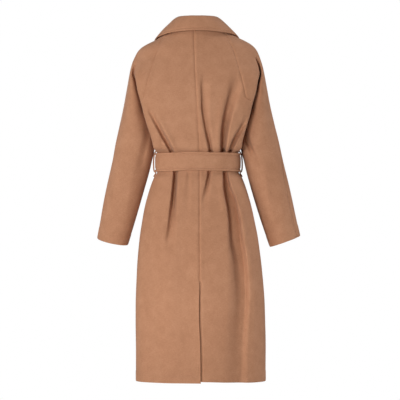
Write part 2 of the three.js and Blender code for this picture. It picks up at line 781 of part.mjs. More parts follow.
// The coat's outline where the belt goes round it, moved out.
function beltOutline(away) {
  const z = (BELT_TOP + BELT_BOTTOM) / 2;
  const quarter = (side, face) => {
    const points = [];
    for (let k = 0; k <= FINE; k += 1) {
      const q = (2 * k) / FINE;
      points.push(placeOnSkin(side, 'trunk', face === 'back' ? q : CENTRE_FRONT - q, z, false));
    }
    return spread(points, BELT_STEPS, 0);
  };
  const ring = [
    ...quarter(1, 'back').slice(0, -1),
    ...quarter(1, 'front').reverse().slice(0, -1),
    ...quarter(-1, 'front').slice(0, -1),
    ...quarter(-1, 'back').reverse().slice(0, -1),
  ];
  return ring.map((p, i) => {
    const before = ring[(i + ring.length - 1) % ring.length];
    const after = ring[(i + 1) % ring.length];
    const along = after.clone().sub(before).normalize();
    return new THREE.Vector2(p.x - along.y * away, p.y + along.x * away);
  }).reverse();
}

function beltBand() {
  const shape = new THREE.Shape(beltOutline(BELT_EASE + BELT_THICKNESS));
  shape.holes.push(new THREE.Path(beltOutline(BELT_EASE)));
  const geometry = new THREE.ExtrudeGeometry(shape, {
    depth: BELT_TOP - BELT_BOTTOM,
    bevelEnabled: false,
  });
  return geometry.translate(0, 0, BELT_BOTTOM);
}

// How far the belt's outer face stands before the origin, near the centre front.
const beltFace = () => CENTRE('front', BELT_TOP) + BELT_EASE + BELT_THICKNESS;

// The knot: a rounded lump of cloth, with a diagonal furrow where one end crosses the other.
function beltKnot() {
  const geometry = new THREE.SphereGeometry(1, 18, 10);
  const square = 0.72; // below 1 the ball is boxier
  const furrow = 0.16;
  const position = geometry.getAttribute('position');
  const boxy = (v) => Math.sign(v) * Math.abs(v) ** square;
  for (let i = 0; i < position.count; i += 1) {
    const [x, y, z] = [position.getX(i), position.getY(i), position.getZ(i)];
    const pinch = 1 - furrow * Math.exp(-(((x + 0.9 * z) / 0.22) ** 2));
    position.setXYZ(
      i,
      (boxy(x) * KNOT.width * pinch) / 2,
      (boxy(y) * KNOT.depth * pinch) / 2,
      (boxy(z) * KNOT.height * pinch) / 2,
    );
  }
  geometry.translate(
    KNOT.x, -(beltFace() + KNOT.depth / 2 + SEAM_GAP), (BELT_TOP + BELT_BOTTOM) / 2);
  geometry.deleteAttribute('normal');
  geometry.deleteAttribute('uv');
  return geometry;
}

// The two ends hang from the knot and lie on the skirt, the right one over the left at the top.
const BELT_END_ROWS = {
  left: [
    { z: -463.5, x: 24, width: 40, off: 4.3 },
    { z: -490, x: 30, width: 50, off: 4.3 },
    { z: -560, x: 42, width: 57, off: 4 },
    { z: -680, x: 53, width: 58, off: 4 },
    { z: -850, x: 58, width: 58, off: 4 },
  ],
  right: [
    { z: -463.5, x: -2, width: 40, off: 8.8 },
    { z: -490, x: -8, width: 50, off: 8.8 },
    { z: -560, x: -18, width: 57, off: 8.6 },
    { z: -680, x: -26, width: 58, off: 6 },
    { z: -815, x: -30, width: 58, off: 4 },
  ],
};

function beltEnd(name) {
  const rows = BELT_END_ROWS[name];
  const read = table(['z', 'x', 'width', 'off'], rows.map((r) => [r.z, r.x, r.width, r.off]));
  const [top, bottom] = [rows[0].z, rows[rows.length - 1].z];
  const steps = 11;
  const grid = [];
  for (let k = 0; k <= steps; k += 1) {
    const z = mix(top, bottom, k / steps);
    const row = [];
    for (let j = 0; j <= 4; j += 1) {
      const x = read('x', z) + read('width', z) * (j / 4 - 0.5);
      const [, d] = trunk('front', trunkAt('front', Math.abs(x), z), z);
      const rest = Math.max(d, beltFace() - 4);
      row.push(new THREE.Vector3(x, -(rest + read('off', z) + BELT_THICKNESS), z));
    }
    grid.push(row);
  }
  return cloth(grid, -1, { thickness: BELT_THICKNESS });
}

// A loop is a narrow strip down the side seam, sewn on above and below the belt and bowed over it.
// off is how far its inside stands off the coat.
const LOOP_ROWS = [
  { z: -393, off: 0.9 },
  { z: -399, off: 1.2 },
  { z: -404, off: 4.6 },
  { z: -410, off: 8 },
  { z: -422, off: 11 },
  { z: -438, off: 11.6 },
  { z: -455, off: 11 },
  { z: -465, off: 8 },
  { z: -471, off: 4.6 },
  { z: -477, off: 1.2 },
  { z: -484, off: 0.9 },
];

function beltLoop(side) {
  const seam = (z) => BACK_FLANK('sideX', z);
  const grid = LOOP_ROWS.map(({ z, off }) => {
    const lean = (seam(z + 1) - seam(z - 1)) / 2;
    const away = (off + LOOP.thickness) / Math.hypot(1, lean);
    return [-1, 0, 1].map((k) => new THREE.Vector3(
      side * (seam(z) + away), LOOP.y + (k * LOOP.width) / 2, z - lean * away));
  });
  return cloth(grid, -side, { thickness: LOOP.thickness });
}

// ---- The coat -----------------------------------------------------------------------------

const WOOL = { color: 0xb98667, roughness: 0.92, metalness: 0 };

const coat = new THREE.Group();

// Moves a finished piece to where the coat's lean and its lower shoulder put it.
function lean(geometry) {
  const position = geometry.getAttribute('position');
  for (let i = 0; i < position.count; i += 1) {
    const [x, z] = [position.getX(i), position.getZ(i)];
    position.setX(i, x + LEAN('x', z));
    position.setZ(i, z - SHOULDER_DROP * smooth(70, 140, x) * smooth(-130, -80, z));
  }
}

function add(name, geometry) {
  lean(geometry);
  const mesh = new THREE.Mesh(geometry, new THREE.MeshStandardMaterial(WOOL));
  mesh.name = name;
  coat.add(mesh);
}

add('back_left', backLeft());
add('back_right', backRight());
for (const [name, side] of [['left', 1], ['right', -1]]) {
  add(`front_${name}`, front(side));
  add(`sleeve_back_${name}`, sleeveHalf(side, 'back'));
  add(`sleeve_front_${name}`, sleeveHalf(side, 'front'));
  add(`belt_end_${name}`, beltEnd(name));
  add(`belt_loop_${name}`, beltLoop(side));
}
add('collar', collar());
add('belt_band', beltBand());
add('belt_knot', beltKnot());

export default coat;
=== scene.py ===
# %% [markdown]
# # A belted wool coat
# The real thing is a camel wool coat of midi length with raglan sleeves, a wide turned-down
# collar, a belt of its own cloth and a vent at the back of the hem. It is filled out as if worn,
# with nobody in it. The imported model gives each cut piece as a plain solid, and here each piece is
# made again as cloth on the same form, with finer folds, its seams, its stitches and its wool.

import math

import bmesh
import bpy
import numpy as np
from mathutils import Matrix, Vector


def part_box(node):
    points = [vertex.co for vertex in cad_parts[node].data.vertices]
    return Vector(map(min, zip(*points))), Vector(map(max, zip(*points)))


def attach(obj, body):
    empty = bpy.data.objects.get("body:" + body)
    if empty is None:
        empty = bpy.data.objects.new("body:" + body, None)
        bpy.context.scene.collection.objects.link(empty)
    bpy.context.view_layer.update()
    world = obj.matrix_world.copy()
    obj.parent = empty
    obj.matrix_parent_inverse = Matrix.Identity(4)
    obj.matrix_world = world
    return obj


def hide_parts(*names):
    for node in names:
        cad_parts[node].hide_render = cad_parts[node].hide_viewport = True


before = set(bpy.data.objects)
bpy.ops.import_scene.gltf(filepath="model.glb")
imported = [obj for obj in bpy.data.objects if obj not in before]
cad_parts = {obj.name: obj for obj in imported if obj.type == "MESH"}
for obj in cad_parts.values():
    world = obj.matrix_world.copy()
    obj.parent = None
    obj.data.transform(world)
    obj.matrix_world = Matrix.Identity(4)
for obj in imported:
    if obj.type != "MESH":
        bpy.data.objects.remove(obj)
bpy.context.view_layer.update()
MM = 0.001  # the tables below are in millimetres, as a pattern cutter writes them


# %% [markdown]
# ## Reading a table of sections
# A coat's form is given by a few level sections. Between two rows a value follows a cubic curve
# whose slopes are chosen so that it never overshoots its rows. Reading whole arrays of heights at
# once keeps this quick, because a panel has tens of thousands of points.

# %% Tables and small helpers
def hermite(a, b, slope_a, slope_b, t):
    """A curve from a to b with these slopes at its ends, t from 0 to 1."""
    s = 1 - t
    ends = s * s * (1 + 2 * t) * a + t * t * (1 + 2 * s) * b
    return ends + s * s * t * slope_a - t * t * s * slope_b


def smooth(start, stop, at):
    """0 at start and 1 at stop, with a soft run between them."""
    t = np.clip((at - start) / (stop - start), 0, 1)
    return t * t * (3 - 2 * t)


def mix(a, b, t):
    return a + (b - a) * t


def bump(at, centre, width):
    """1 at the centre, fading to both sides."""
    return np.exp(-(((at - centre) / width) ** 2))


class Table:
    """Rows with named columns. The first column is the height, and falls from row to row."""

    def __init__(self, names, *rows):
        rows = np.array(rows, float)
        self.z = rows[:, 0]
        self.columns = {}
        for name, v in zip(names.split()[1:], rows[:, 1:].T):
            secant = np.diff(v) / np.diff(self.z)
            product = secant[:-1] * secant[1:]
            total = secant[:-1] + secant[1:]
            safe = np.where(product > 0, total, 1)
            middle = np.where(product > 0, 2 * product / safe, 0)
            self.columns[name] = v, np.concatenate([secant[:1], middle, secant[-1:]])

    def __call__(self, name, at):
        v, slope = self.columns[name]
        z = self.z
        at = np.clip(at, z[-1], z[0])
        i = np.clip(np.searchsorted(-z, -at) - 1, 0, len(z) - 2)
        step = z[i + 1] - z[i]
        t = (at - z[i]) / step
        return hermite(v[i], v[i + 1], slope[i] * step, slope[i + 1] * step, t)


print("a table reads", float(Table("z x", (0, 1), (-10, 3))("x", -5)), "half way from 1 to 3")

# %% [markdown]
# ## Driving sizes
# The cloth is a thick brushed wool. The belt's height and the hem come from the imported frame, and
# the other sizes are the cutter's.

# %% Sizes
CLOTH = 2.5
LAYER_GAP = 1.2  # air between two layers that lap
UNDERARM = -285
BELT_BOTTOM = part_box("belt_band")[0].z / MM
BELT_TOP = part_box("belt_band")[1].z / MM
BELT_THICKNESS = 4.2
BELT_EASE = 1.9  # air between the coat and the belt
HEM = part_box("back_left")[0].z / MM
VENT_TOP = -817
VENT_LAP = 40
CUFF = -690
CUFF_TILT = {"left": 0.21, "right": 0.36}  # a cuff is square to its sleeve, which hangs out
CUFF_DIP = {"left": 7, "right": 1.5}  # how much lower a cuff is at the back, and higher in front
HANG_FROM = -400  # where the rows of a sleeve start to tilt
NECK_FADE = 60  # how far down the rows still follow the neckline
NECK_RISE = {"back": 4, "front": -5, "shoulder": 8}
HEM_TURN, CUFF_TURN = 34, 38  # depth of the turned-up hem and cuff
print(f"belt {BELT_TOP - BELT_BOTTOM:.0f} mm wide, hem {-HEM:.0f} mm under the nape")

# %% [markdown]
# ## The form of the coat
# The coat is one skin. Above the underarm a level section of it is one outline, from the centre
# back over the arm to the centre front. Below, it parts into the trunk's tube and two sleeves. A
# crest is where the cloth turns from facing back to facing sideways, and a side is the side seam
# or the bottom of the crease between trunk and sleeve.

# %% Tables of the form
CENTRE = Table(
    "z back front",
    (8, 54, 46), (0, 60, 54), (-26, 71, 72), (-51, 79, 86), (-77, 87, 97), (-102, 93, 106),
    (-140, 101, 116), (-205, 109, 127), (-260, 110, 130), (-323, 106, 127), (-371, 101, 121),
    (-393, 97, 118), (BELT_TOP + 2, 87, 112), (BELT_BOTTOM - 2, 87, 112), (-486, 95, 117),
    (-525, 107, 124), (-576, 118, 130), (-627, 127, 136), (-678, 134, 140), (-781, 143, 146),
    (-896, 150, 151), (HEM, 158, 157))
FLANK = Table(
    "z back_x back_d front_x front_d side_x side_d",
    (-95, 165, 62, 165, 62, 176, 46), (-120, 197, 58, 196, 62, 203, 42),
    (-150, 200, 66, 198, 75, 202, 46), (-182, 193, 72, 189, 84, 192, 43),
    (-211, 188, 76, 183, 88, 183, 36), (-250, 177, 78, 172, 88, 168, 14),
    (UNDERARM, 169, 76, 165, 85, 158, -20), (-323, 158, 72, 154, 82, 145, -16),
    (-371, 144, 66, 139, 76, 131, -12), (-393, 140, 54, 135, 64, 129, -10),
    (BELT_TOP + 2, 130.4, 27.5, 130.2, 38, 130, -8),
    (BELT_BOTTOM - 2, 130.4, 27.5, 130.2, 38, 130, -8), (-482, 138.5, 34, 138.5, 38, 138, -8),
    (-499, 146, 36, 146, 40, 145.5, -8), (-525, 155, 38, 155, 44, 154.5, -8),
    (-576, 169, 42, 169, 46, 168.5, -6), (-627, 179, 46, 179, 48, 178.5, -4),
    (-678, 188, 50, 188, 50, 187.5, -2), (-781, 199, 52, 199, 52, 198.5, 0),
    (-896, 205, 54, 205, 54, 204.5, 0), (HEM, 206, 56, 206, 56, 205.5, 0))
# above the underarm the front has a side of its own
FRONT_SIDE = Table(
    "z x d",
    (-95, 176, 46), (-120, 203, 50), (-150, 201, 60), (-182, 190, 61), (-211, 182, 56),
    (-250, 168, 40), (UNDERARM, 158, 20), (-323, 145, 16))
ARM_OUT = Table(
    "z x",
    (8, 74), (0, 84), (-12, 97), (-26, 111), (-38, 130), (-51, 157), (-64, 178), (-77, 190),
    (-90, 197), (-115, 206), (-141, 213), (-192, 223), (-256, 235), (-320, 249), (-371, 261),
    (-435, 274), (-512, 291), (-576, 304), (-640, 316), (CUFF, 326))
ARM = Table(
    "z back front inner",
    (-95, 60, -62, 158), (-140, 62, -76, 158), (-205, 57, -88, 158), (-250, 52, -90, 158),
    (UNDERARM, 50, -90, 158), (-320, 48, -84, 150), (-371, 46, -78, 141), (-393, 45, -76, 139),
    (-410, 44, -75, 142), (-428, 43, -74, 147), (-445, 42, -74, 151), (-461, 42, -74, 155),
    (-499, 38, -75, 166), (-576, 29, -76, 190), (-640, 20, -75, 211), (CUFF, 14, -74, 228))
RAGLAN = Table(
    "z back_left back_right front",
    (8, 54, 54, 58), (4, 58, 57, 61), (-5, 73, 69, 66), (-26, 97, 87, 82), (-47, 114, 99, 98),
    (-82, 128, 116, 122), (-140, 144, 133, 146), (-198, 160, 148, 160), (-238, 169, 156, 167),
    (UNDERARM, 176, 168, 168))
RAGLAN_TURN = -232  # where the seam turns in to the underarm
OVERARM = Table(
    "z left right",
    (-300, 2, 2), (-400, 1.94, 1.8), (-530, 1.88, 1.6), (CUFF, 1.86, 1.56))
FRONT_EDGE = Table(
    "z x",
    (-5, 52), (-60, 43), (-120, 33), (-200, 16), (-268, -1), (-290, -7), (-350, -24),
    (BELT_TOP, -50), (BELT_BOTTOM, -64), (-700, -80), (HEM, -86))
# the centre-back seam, and below the vent's top the left half's fold
CENTRE_BACK = Table(
    "z x",
    (8, 9), (-19, 9), (-128, 6.3), (-230, 1.5), (-330, -3.5), (-400, -5.6), (-470, -5),
    (-557, -4.7), (-685, -2.2), (VENT_TOP, 0.8), (VENT_TOP - 8, 4.8), (-930, 8), (-1010, 6),
    (HEM, 4.5))
# the coat hangs a little askew: where its middle is
LEAN = Table(
    "z x",
    (40, 3.5), (-50, 5), (-250, 5), (-350, 4), (-437, 2), (-557, 1.5), (-685, -1), (-816, -4),
    (-940, -6), (-1040, -7.5), (HEM, -7.5))
SHOULDER_DROP = 7  # how much lower the wearer's left shoulder is
SHOULDER_FROM, SHOULDER_OVER = (70, 140), (-130, -80)  # in x and in z, where that fades in
print("the hem is", 2 * float(FLANK("side_x", HEM)), "mm across")

# %% [markdown]
# ## Folds
# The belt gathers a loose coat, so folds run into it from above and fall out of it below. Each
# fold is a soft trough with one steep side, where the cloth starts to lap over itself, and one
# slack side. A row says where its line runs (x is signed, the wearer's left positive), how wide
# its floor is, how long each slope is, how deep it goes, and how far the cloth swells beside the
# steep side. They are given one by one, each unlike the next.

# %% Tables of the folds
FOLD = "z x floor minus plus depth swell"
SWELL_REACH = 1.7  # the swell lies this many lengths of the steep slope outside the floor
SWELL_WIDTH = 9


def folds(*each):
    """A table for each fold. A short row has no swell, or neither depth nor swell."""
    return [Table(FOLD, *(row + (0,) * (7 - len(row)) for row in rows)) for rows in each]


BACK_FOLDS = folds(
    # into the belt from above, the wearer's left first
    ((-215, 172, 1, 16, 14), (-250, 163, 1, 18, 10, 3), (-300, 139, 1, 11, 12, 10, 1.5),
     (-355, 109, 1, 8, 12, 19, 3.5), (-408, 83, 1, 7, 9, 21, 3), (-412, 82, 1, 7, 9)),
    ((-140, -26, 1, 26, 18), (-190, -15, 1, 26, 10, 4, 1), (-260, -15, 1, 22, 7, 11, 2),
     (-330, -24, 1, 15, 6, 14, 2.5), (-408, -38, 1, 9, 6, 20, 2), (-412, -38, 1, 9, 6)),
    ((-150, -128, 3, 26, 30), (-205, -113, 3, 26, 20, 10), (-250, -99, 3, 22, 12, 19, 2),
     (-300, -86, 2, 20, 9, 27, 3), (-350, -79, 2, 15, 8, 33, 3.5), (-408, -77, 2, 10, 7, 30, 2),
     (-412, -77, 2, 10, 7)),
    ((-285, -156, 1, 10, 14), (-325, -137, 1, 11, 9, 12, 1), (-365, -115, 2, 11, 7, 25, 2.5),
     (-408, -99, 2, 8, 6, 22, 2), (-412, -98, 2, 8, 6)),
    ((-330, 122, 1, 10, 12), (-370, 116, 1, 9, 8, 3, 0.5), (-408, 112, 1, 8, 7, 4),
     (-412, 112, 1, 8, 7)),
    # out of the belt, downwards
    ((-463, 73, 2, 8, 6), (-468, 73, 2, 8, 6, 24), (-500, 75, 2, 9, 6, 28, 2.5),
     (-560, 80, 2, 12, 7, 25, 3), (-620, 85, 2, 17, 10, 16, 2), (-720, 95, 2, 26, 18)),
    ((-463, -34, 1, 8, 6), (-468, -34, 1, 8, 6, 19), (-505, -28, 1, 10, 7, 15, 1.5),
     (-545, -21, 1, 16, 12, 5), (-600, -12, 1, 20, 16)),
    ((-463, -85, 3, 6, 6), (-468, -85, 3, 7, 6, 24), (-510, -89, 7, 8, 7, 30, 2.5),
     (-560, -102, 12, 9, 8, 33, 3.5), (-621, -114, 12, 10, 12, 32, 4),
     (-685, -122, 11, 11, 22, 29, 3.5), (-736, -132, 8, 13, 34, 26, 3),
     (-780, -138, 6, 14, 42, 25, 3), (-850, -141, 5, 17, 46, 21, 2.4),
     (-1000, -131, 4, 22, 48, 15, 1.6), (HEM, -127, 4, 26, 50, 11, 1)),
    ((-463, 30, 1, 8, 9), (-468, 30, 1, 8, 9, 3), (-530, 33, 1, 12, 14, 2.5),
     (-640, 40, 1, 20, 24)),
    ((-560, 168, 2, 24, 16), (-700, 168, 3, 30, 20, 3), (-900, 160, 4, 34, 26, 4, 0.5),
     (HEM, 150, 4, 40, 30, 3)),
    ((-600, 46, 4, 40, 36), (-780, 44, 6, 50, 40, 3.5), (-960, 40, 6, 50, 44, 2.5),
     (HEM, 40, 6, 50, 44, 1.5)),
)
FRONT_FOLDS = folds(
    ((-250, 120, 1, 20, 20), (-310, 104, 1, 14, 9, 6, 1), (-360, 93, 1, 14, 7, 10, 2),
     (-408, 84, 1, 11, 6, 11, 2), (-412, 84, 1, 11, 6)),
    ((-230, 60, 1, 18, 14), (-310, 52, 1, 8, 16, 5, 1), (-408, 44, 1, 6, 12, 8, 1.5),
     (-412, 44, 1, 6, 12)),
    ((-240, -136, 1, 16, 14), (-300, -118, 1, 8, 16, 6, 1), (-355, -96, 1, 7, 14, 10, 2.5),
     (-408, -78, 1, 6, 11, 12, 2), (-412, -78, 1, 6, 11)),
    ((-260, -60, 1, 14, 18), (-330, -52, 1, 15, 7, 6, 1.5), (-408, -36, 1, 11, 6, 9, 1.5),
     (-412, -36, 1, 11, 6)),
    ((-463, 90, 3, 8, 8), (-468, 90, 3, 9, 8, 12), (-540, 97, 5, 13, 9, 15, 2),
     (-620, 105, 5, 18, 12, 12, 2), (-740, 112, 4, 26, 22, 6, 1), (-900, 112, 3, 32, 30)),
    ((-463, -96, 3, 8, 8), (-468, -96, 3, 8, 8, 13), (-540, -112, 6, 9, 14, 16, 2),
     (-640, -126, 7, 11, 22, 14, 2.4), (-800, -134, 5, 22, 34, 7, 1.2),
     (-1000, -130, 4, 32, 40, 3), (HEM, -126, 4, 36, 44, 2)),
    ((-463, -44, 1, 8, 9), (-468, -44, 1, 8, 9, 6), (-540, -50, 2, 12, 13, 5, 0.5),
     (-650, -56, 2, 20, 20)),
)
ARM_FOLDS = {  # on a sleeve, near its inside, where the arm bends a little
    "back": folds(
        ((-318, -148, 1, 7, 7), (-345, -151, 2, 8, 6, 15, 3), (-372, -157, 3, 8, 7, 19, 3),
         (-400, -169, 2, 9, 12, 10, 1.5), (-440, -184, 2, 12, 16)),
        ((-300, 166, 1, 10, 14), (-350, 162, 1, 9, 16, 5, 1), (-400, 172, 1, 10, 18, 5, 1),
         (-470, 188, 1, 14, 20)),
        ((-120, -212, 1, 12, 8), (-190, -220, 1, 12, 9, 2, 0.5), (-300, -228, 1, 14, 12, 3, 0.5),
         (-420, -250, 1, 18, 16)),
        ((-430, 226, 2, 20, 22), (-540, 246, 3, 24, 24, 3), (-650, 262, 3, 26, 24)),
        ((-410, -222, 2, 22, 20), (-520, -240, 3, 24, 22, 3), (-640, -258, 3, 26, 26)),
    ),
    "front": folds(
        ((-320, 172, 2, 12, 10), (-360, 178, 3, 14, 8, 7, 1.5), (-410, 192, 3, 14, 12, 5, 1),
         (-480, 210, 3, 20, 20)),
        ((-330, -170, 2, 10, 14), (-370, -180, 3, 8, 15, 6, 1.5), (-420, -194, 3, 12, 16, 5, 1),
         (-500, -214, 3, 20, 20)),
        ((-380, 236, 2, 18, 18), (-440, 240, 3, 16, 12, 5, 1), (-520, 252, 3, 22, 20)),
        ((-390, -232, 2, 18, 18), (-450, -240, 3, 12, 16, 4, 1), (-540, -256, 3, 22, 22)),
    ),
}
# how much deeper the cloth tucks in between trunk and arm, at the back
CREASE = Table(
    "z left right",
    (-96, 0, 0), (-125, 3, 16), (-170, 8, 28), (-230, 13, 34), (-264, 12, 30), (UNDERARM, 0, 0))


def fold_depth(group, x, z):
    """How far a group of folds presses the cloth in at a place."""
    depth = np.zeros(np.broadcast(x, z).shape)
    for fold in group:
        most = fold("depth", z)
        off = x + LEAN("x", z) - fold("x", z)
        run = np.where(off < 0, fold("minus", z), fold("plus", z))
        depth = depth + most * smooth(run, 0, np.abs(off) - fold("floor", z))
        steep = np.sign(fold("minus", z) - fold("plus", z))
        beyond = fold("floor", z) + np.minimum(fold("minus", z), fold("plus", z)) * SWELL_REACH
        depth = depth - fold("swell", z) * bump(off, steep * beyond, SWELL_WIDTH)
    return depth


print(len(BACK_FOLDS), "folds in the back,", len(FRONT_FOLDS), "in the front,",
      sum(map(len, ARM_FOLDS.values())), "in the sleeves")

# %% [markdown]
# ## From the tables to the skin
# A place on the skin is counted in steps round the outline: 0 is the centre back, 1 the back's
# crest, 2 the crease or side seam, 3 the arm's back, 4 its outermost line, and so on to 8 at the
# centre front. Each stretch between two places is a Hermite curve. Near the shoulders the outline
# becomes half an ellipse, because the cloth lies on the shoulders in one round.

# %% The skin
FACES = {"back": 1, "front": -1}  # the sign of y
FULLNESS = 0.6  # how square the corners of a section are
ARM_FULLNESS = 0.56
ANGLE = {"centre": 0, "crest": 58, "side": 67, "arm": 77, "out": 90}
DOME = -90, -190  # the round over the shoulders fades out between these heights
CREASED = UNDERARM - 20, UNDERARM + 40  # and the crease between trunk and arm fades in here
# steps round the outline between which the folds fade, and the crease fades, to either side
TRUNK_FADE, ARM_FADE_IN, ARM_FADE_OUT = (1.9, 1.3), (2.02, 2.4), (4, 3.6)
TUCK_FADE_IN, TUCK_FADE_OUT = (1.72, 2), (2.7, 2)


def ellipse_place(face, place, z):
    angle = math.radians(ANGLE[place])
    a = ARM_OUT("x", z)
    d = CENTRE(face, z)
    at = a * math.sin(angle), d * math.cos(angle)
    return at, (a * math.cos(angle), -d * math.sin(angle))


def stretch(face, z, t, places, ends, leave, arrive):
    """One stretch of an outline, t from 0 to 1, as x and how far behind or before the origin."""
    share = 1 - smooth(*DOME, z)
    (at_a, turn_a), (at_b, turn_b) = (ellipse_place(face, place, z) for place in places)
    span = math.radians(ANGLE[places[1]] - ANGLE[places[0]])
    point = []
    for k in (0, 1):
        parted = hermite(ends[0][k], ends[1][k], leave[k], arrive[k], t)
        rounded = hermite(at_a[k], at_b[k], turn_a[k] * span, turn_b[k] * span, t)
        point.append(mix(parted, rounded, share))
    return point


def side_point(face, z):
    """The bottom of the crease above the underarm, and the side seam below it."""
    x, d = FLANK("side_x", z), FLANK("side_d", z)
    if face == "back":
        return x, d
    above = z > UNDERARM
    return np.where(above, FRONT_SIDE("x", z), x), np.where(above, FRONT_SIDE("d", z), -d)


def trunk(face, q, z):
    """The trunk on one face: q is 0 on the centre line, 1 at the crest and 2 at the side."""
    centre = 0 * z, CENTRE(face, z)
    crest = FLANK(face + "_x", z), FLANK(face + "_d", z)
    side = side_point(face, z)
    full = 3 * FULLNESS
    inner = stretch(face, z, np.clip(q, 0, 1), ("centre", "crest"), (centre, crest),
                    (full * crest[0], 0), (0, full * (crest[1] - centre[1])))
    fall = side[1] - crest[1]
    creased = smooth(*CREASED, z)
    outer = stretch(face, z, np.clip(q - 1, 0, 1), ("crest", "side"), (crest, side),
                    (0, fall), (creased * (side[0] - crest[0]), fall))
    return [np.where(q <= 1, a, b) for a, b in zip(inner, outer)]


def arm(face, r, z):
    """The arm on one face: r is 0 at the crease, 1 at its back or front and 2 at its outside."""
    sign = FACES[face]
    middle = sign * (ARM("back", z) + ARM("front", z)) / 2
    out = ARM_OUT("x", z), middle
    crease = side_point(face, z)
    below = z < UNDERARM
    seam = np.where(below, ARM("inner", z), crease[0]), np.where(below, middle, crease[1])
    back = (seam[0] + out[0]) / 2, sign * ARM(face, z)
    full = 3 * ARM_FULLNESS
    creased = smooth(*CREASED, z)
    run = back[0] - seam[0]
    leave = creased * run, mix(full, 1, creased) * (back[1] - seam[1])
    inner = stretch(face, z, np.clip(r, 0, 1), ("side", "arm"), (seam, back), leave,
                    (full * run, 0))
    outer = stretch(face, z, np.clip(r - 1, 0, 1), ("arm", "out"), (back, out),
                    (full * (out[0] - back[0]), 0), (0, full * (out[1] - back[1])))
    return [np.where(r <= 1, a, b) for a, b in zip(inner, outer)]


def skin(side, tube, s, z, folded=True):
    """Points of the skin, in millimetres. side is 1 for the wearer's left, -1 for the right."""
    side, s, z = np.broadcast_arrays(np.asarray(side, float), s, np.asarray(z, float))
    side = np.where((s < 0) | (s > 8), -side, side)
    s = np.where(s < 0, -s, np.where(s > 8, 16 - s, s))
    below = z <= UNDERARM
    if tube == "trunk":
        at = np.where(below & (s > 2) & (s < 6), np.where(s < 4, s + 4, s - 4), s)
    else:
        at = np.where(below & (s < 2), s + 4, np.where(below & (s > 6), s - 4, s))
    x, y = np.zeros(s.shape), np.zeros(s.shape)
    for face, sign in FACES.items():
        here = at <= 4 if face == "back" else at > 4
        q = np.where(face == "back", at, 8 - at)
        on_arm = q >= 2 if tube == "sleeve" else q > 2
        (tx, td), (ax, ad) = trunk(face, q, z), arm(face, q - 2, z)
        fx, fd = np.where(on_arm, ax, tx), np.where(on_arm, ad, td)
        if folded:
            group = BACK_FOLDS if face == "back" else FRONT_FOLDS
            deep = fold_depth(group, side * tx, z) * smooth(*TRUNK_FADE, q)
            arm_fade = smooth(*ARM_FADE_IN, q) * smooth(*ARM_FADE_OUT, q)
            arm_deep = fold_depth(ARM_FOLDS[face], side * ax, z) * arm_fade
            fd = fd - np.where(on_arm, arm_deep, deep)
            if face == "back":
                tuck = np.where(side > 0, CREASE("left", z), CREASE("right", z))
                fd = fd - tuck * smooth(*TUCK_FADE_IN, q) * smooth(*TUCK_FADE_OUT, q)
        x = np.where(here, side * fx, x)
        y = np.where(here, sign * fd, y)
    if tube == "sleeve":
        middle = (ARM("inner", z) + ARM_OUT("x", z)) / 2
        depth = (ARM("back", z) - ARM("front", z)) / 2
        behind = (y - (ARM("back", z) + ARM("front", z)) / 2) / depth
        tilt = np.where(side > 0, CUFF_TILT["left"], CUFF_TILT["right"])
        dip = np.where(side > 0, CUFF_DIP["left"], CUFF_DIP["right"])
        z = z + (tilt * (np.abs(x) - middle) - dip * behind) * smooth(HANG_FROM, CUFF, z)
    return np.stack([x, y, z], axis=-1)


def trunk_at(face, x, z):
    """The step from the centre line at which the trunk is x wide."""
    low = np.zeros(np.broadcast(x, z).shape)
    high = low + 1
    for _ in range(26):
        middle = (low + high) / 2
        narrow = trunk(face, middle, z)[0] < x
        low, high = np.where(narrow, middle, low), np.where(narrow, high, middle)
    return low


def raglan_at(side, face, z):
    column = face if face == "front" else "back_left" if side > 0 else "back_right"
    step = mix(trunk_at(face, RAGLAN(column, z), z), 2, smooth(RAGLAN_TURN, UNDERARM, z))
    return np.where(z <= UNDERARM, 2, step)


WAIST = (BELT_TOP + BELT_BOTTOM) / 2
print(f"half the waist is {float(trunk('back', np.array(2.0), np.array(WAIST))[0]):.0f} mm")

# %% [markdown]
# ## From a grid of points to cloth
# A panel is a flat grid that is laid on the skin, so bmesh makes the grid and every vertex is
# moved to its place. The panel's width and length on the cloth go into a UV map in metres, which
# the weave follows. Solidify gives the wall, inwards, and a small Bevel rounds the cut edges.
# Where two pieces are sewn, the cloth dips into the seam and swells over the turnings beside it,
# and it runs on a little past the seam, because the rounded edges would leave a gap there.

# %% Grids, normals and seams
SEAM_DIP = Table("z mm", (8, 1.7), (-380, 1.7), (-480, 2.3), (HEM, 2.3))
DIP_WIDTH = 2.6
TURNINGS = 8, 5  # the swell over a seam's turnings: how far from the seam, and how wide
TURNINGS_SWELL = 0.5
SEAM_TUCK = 0.7  # how far a sewn edge runs on past its seam
FINE = 240  # samples along a row
ARM_APART = 200  # a piece whose middle is further out than this is a sleeve's


def unit(vectors):
    return vectors / np.maximum(np.linalg.norm(vectors, axis=-1, keepdims=True), 1e-9)


def grid_normals(grid):
    return unit(np.cross(np.gradient(grid, axis=1), np.gradient(grid, axis=0)))


def lengths_along(points):
    """How far along its polyline each point lies, for the second to last axis."""
    steps = np.linalg.norm(np.diff(points, axis=-2), axis=-1)
    zero = np.zeros(steps.shape[:-1] + (1,))
    return np.concatenate([zero, np.cumsum(steps, axis=-1)], axis=-1)


def lengths_down(grid):
    return lengths_along(grid.swapaxes(0, 1)).swapaxes(0, 1)


def along_line(line, lengths, at):
    """The place on a polyline that is so far along it, or the places."""
    return np.stack([np.interp(at, lengths, line[:, k]) for k in range(3)], axis=-1)


def evenly(points, count):
    """Each row of points again, at equal steps."""
    return np.array([along_line(row, lengths, np.linspace(0, lengths[-1], count + 1))
                     for row, lengths in zip(points, lengths_along(points))])


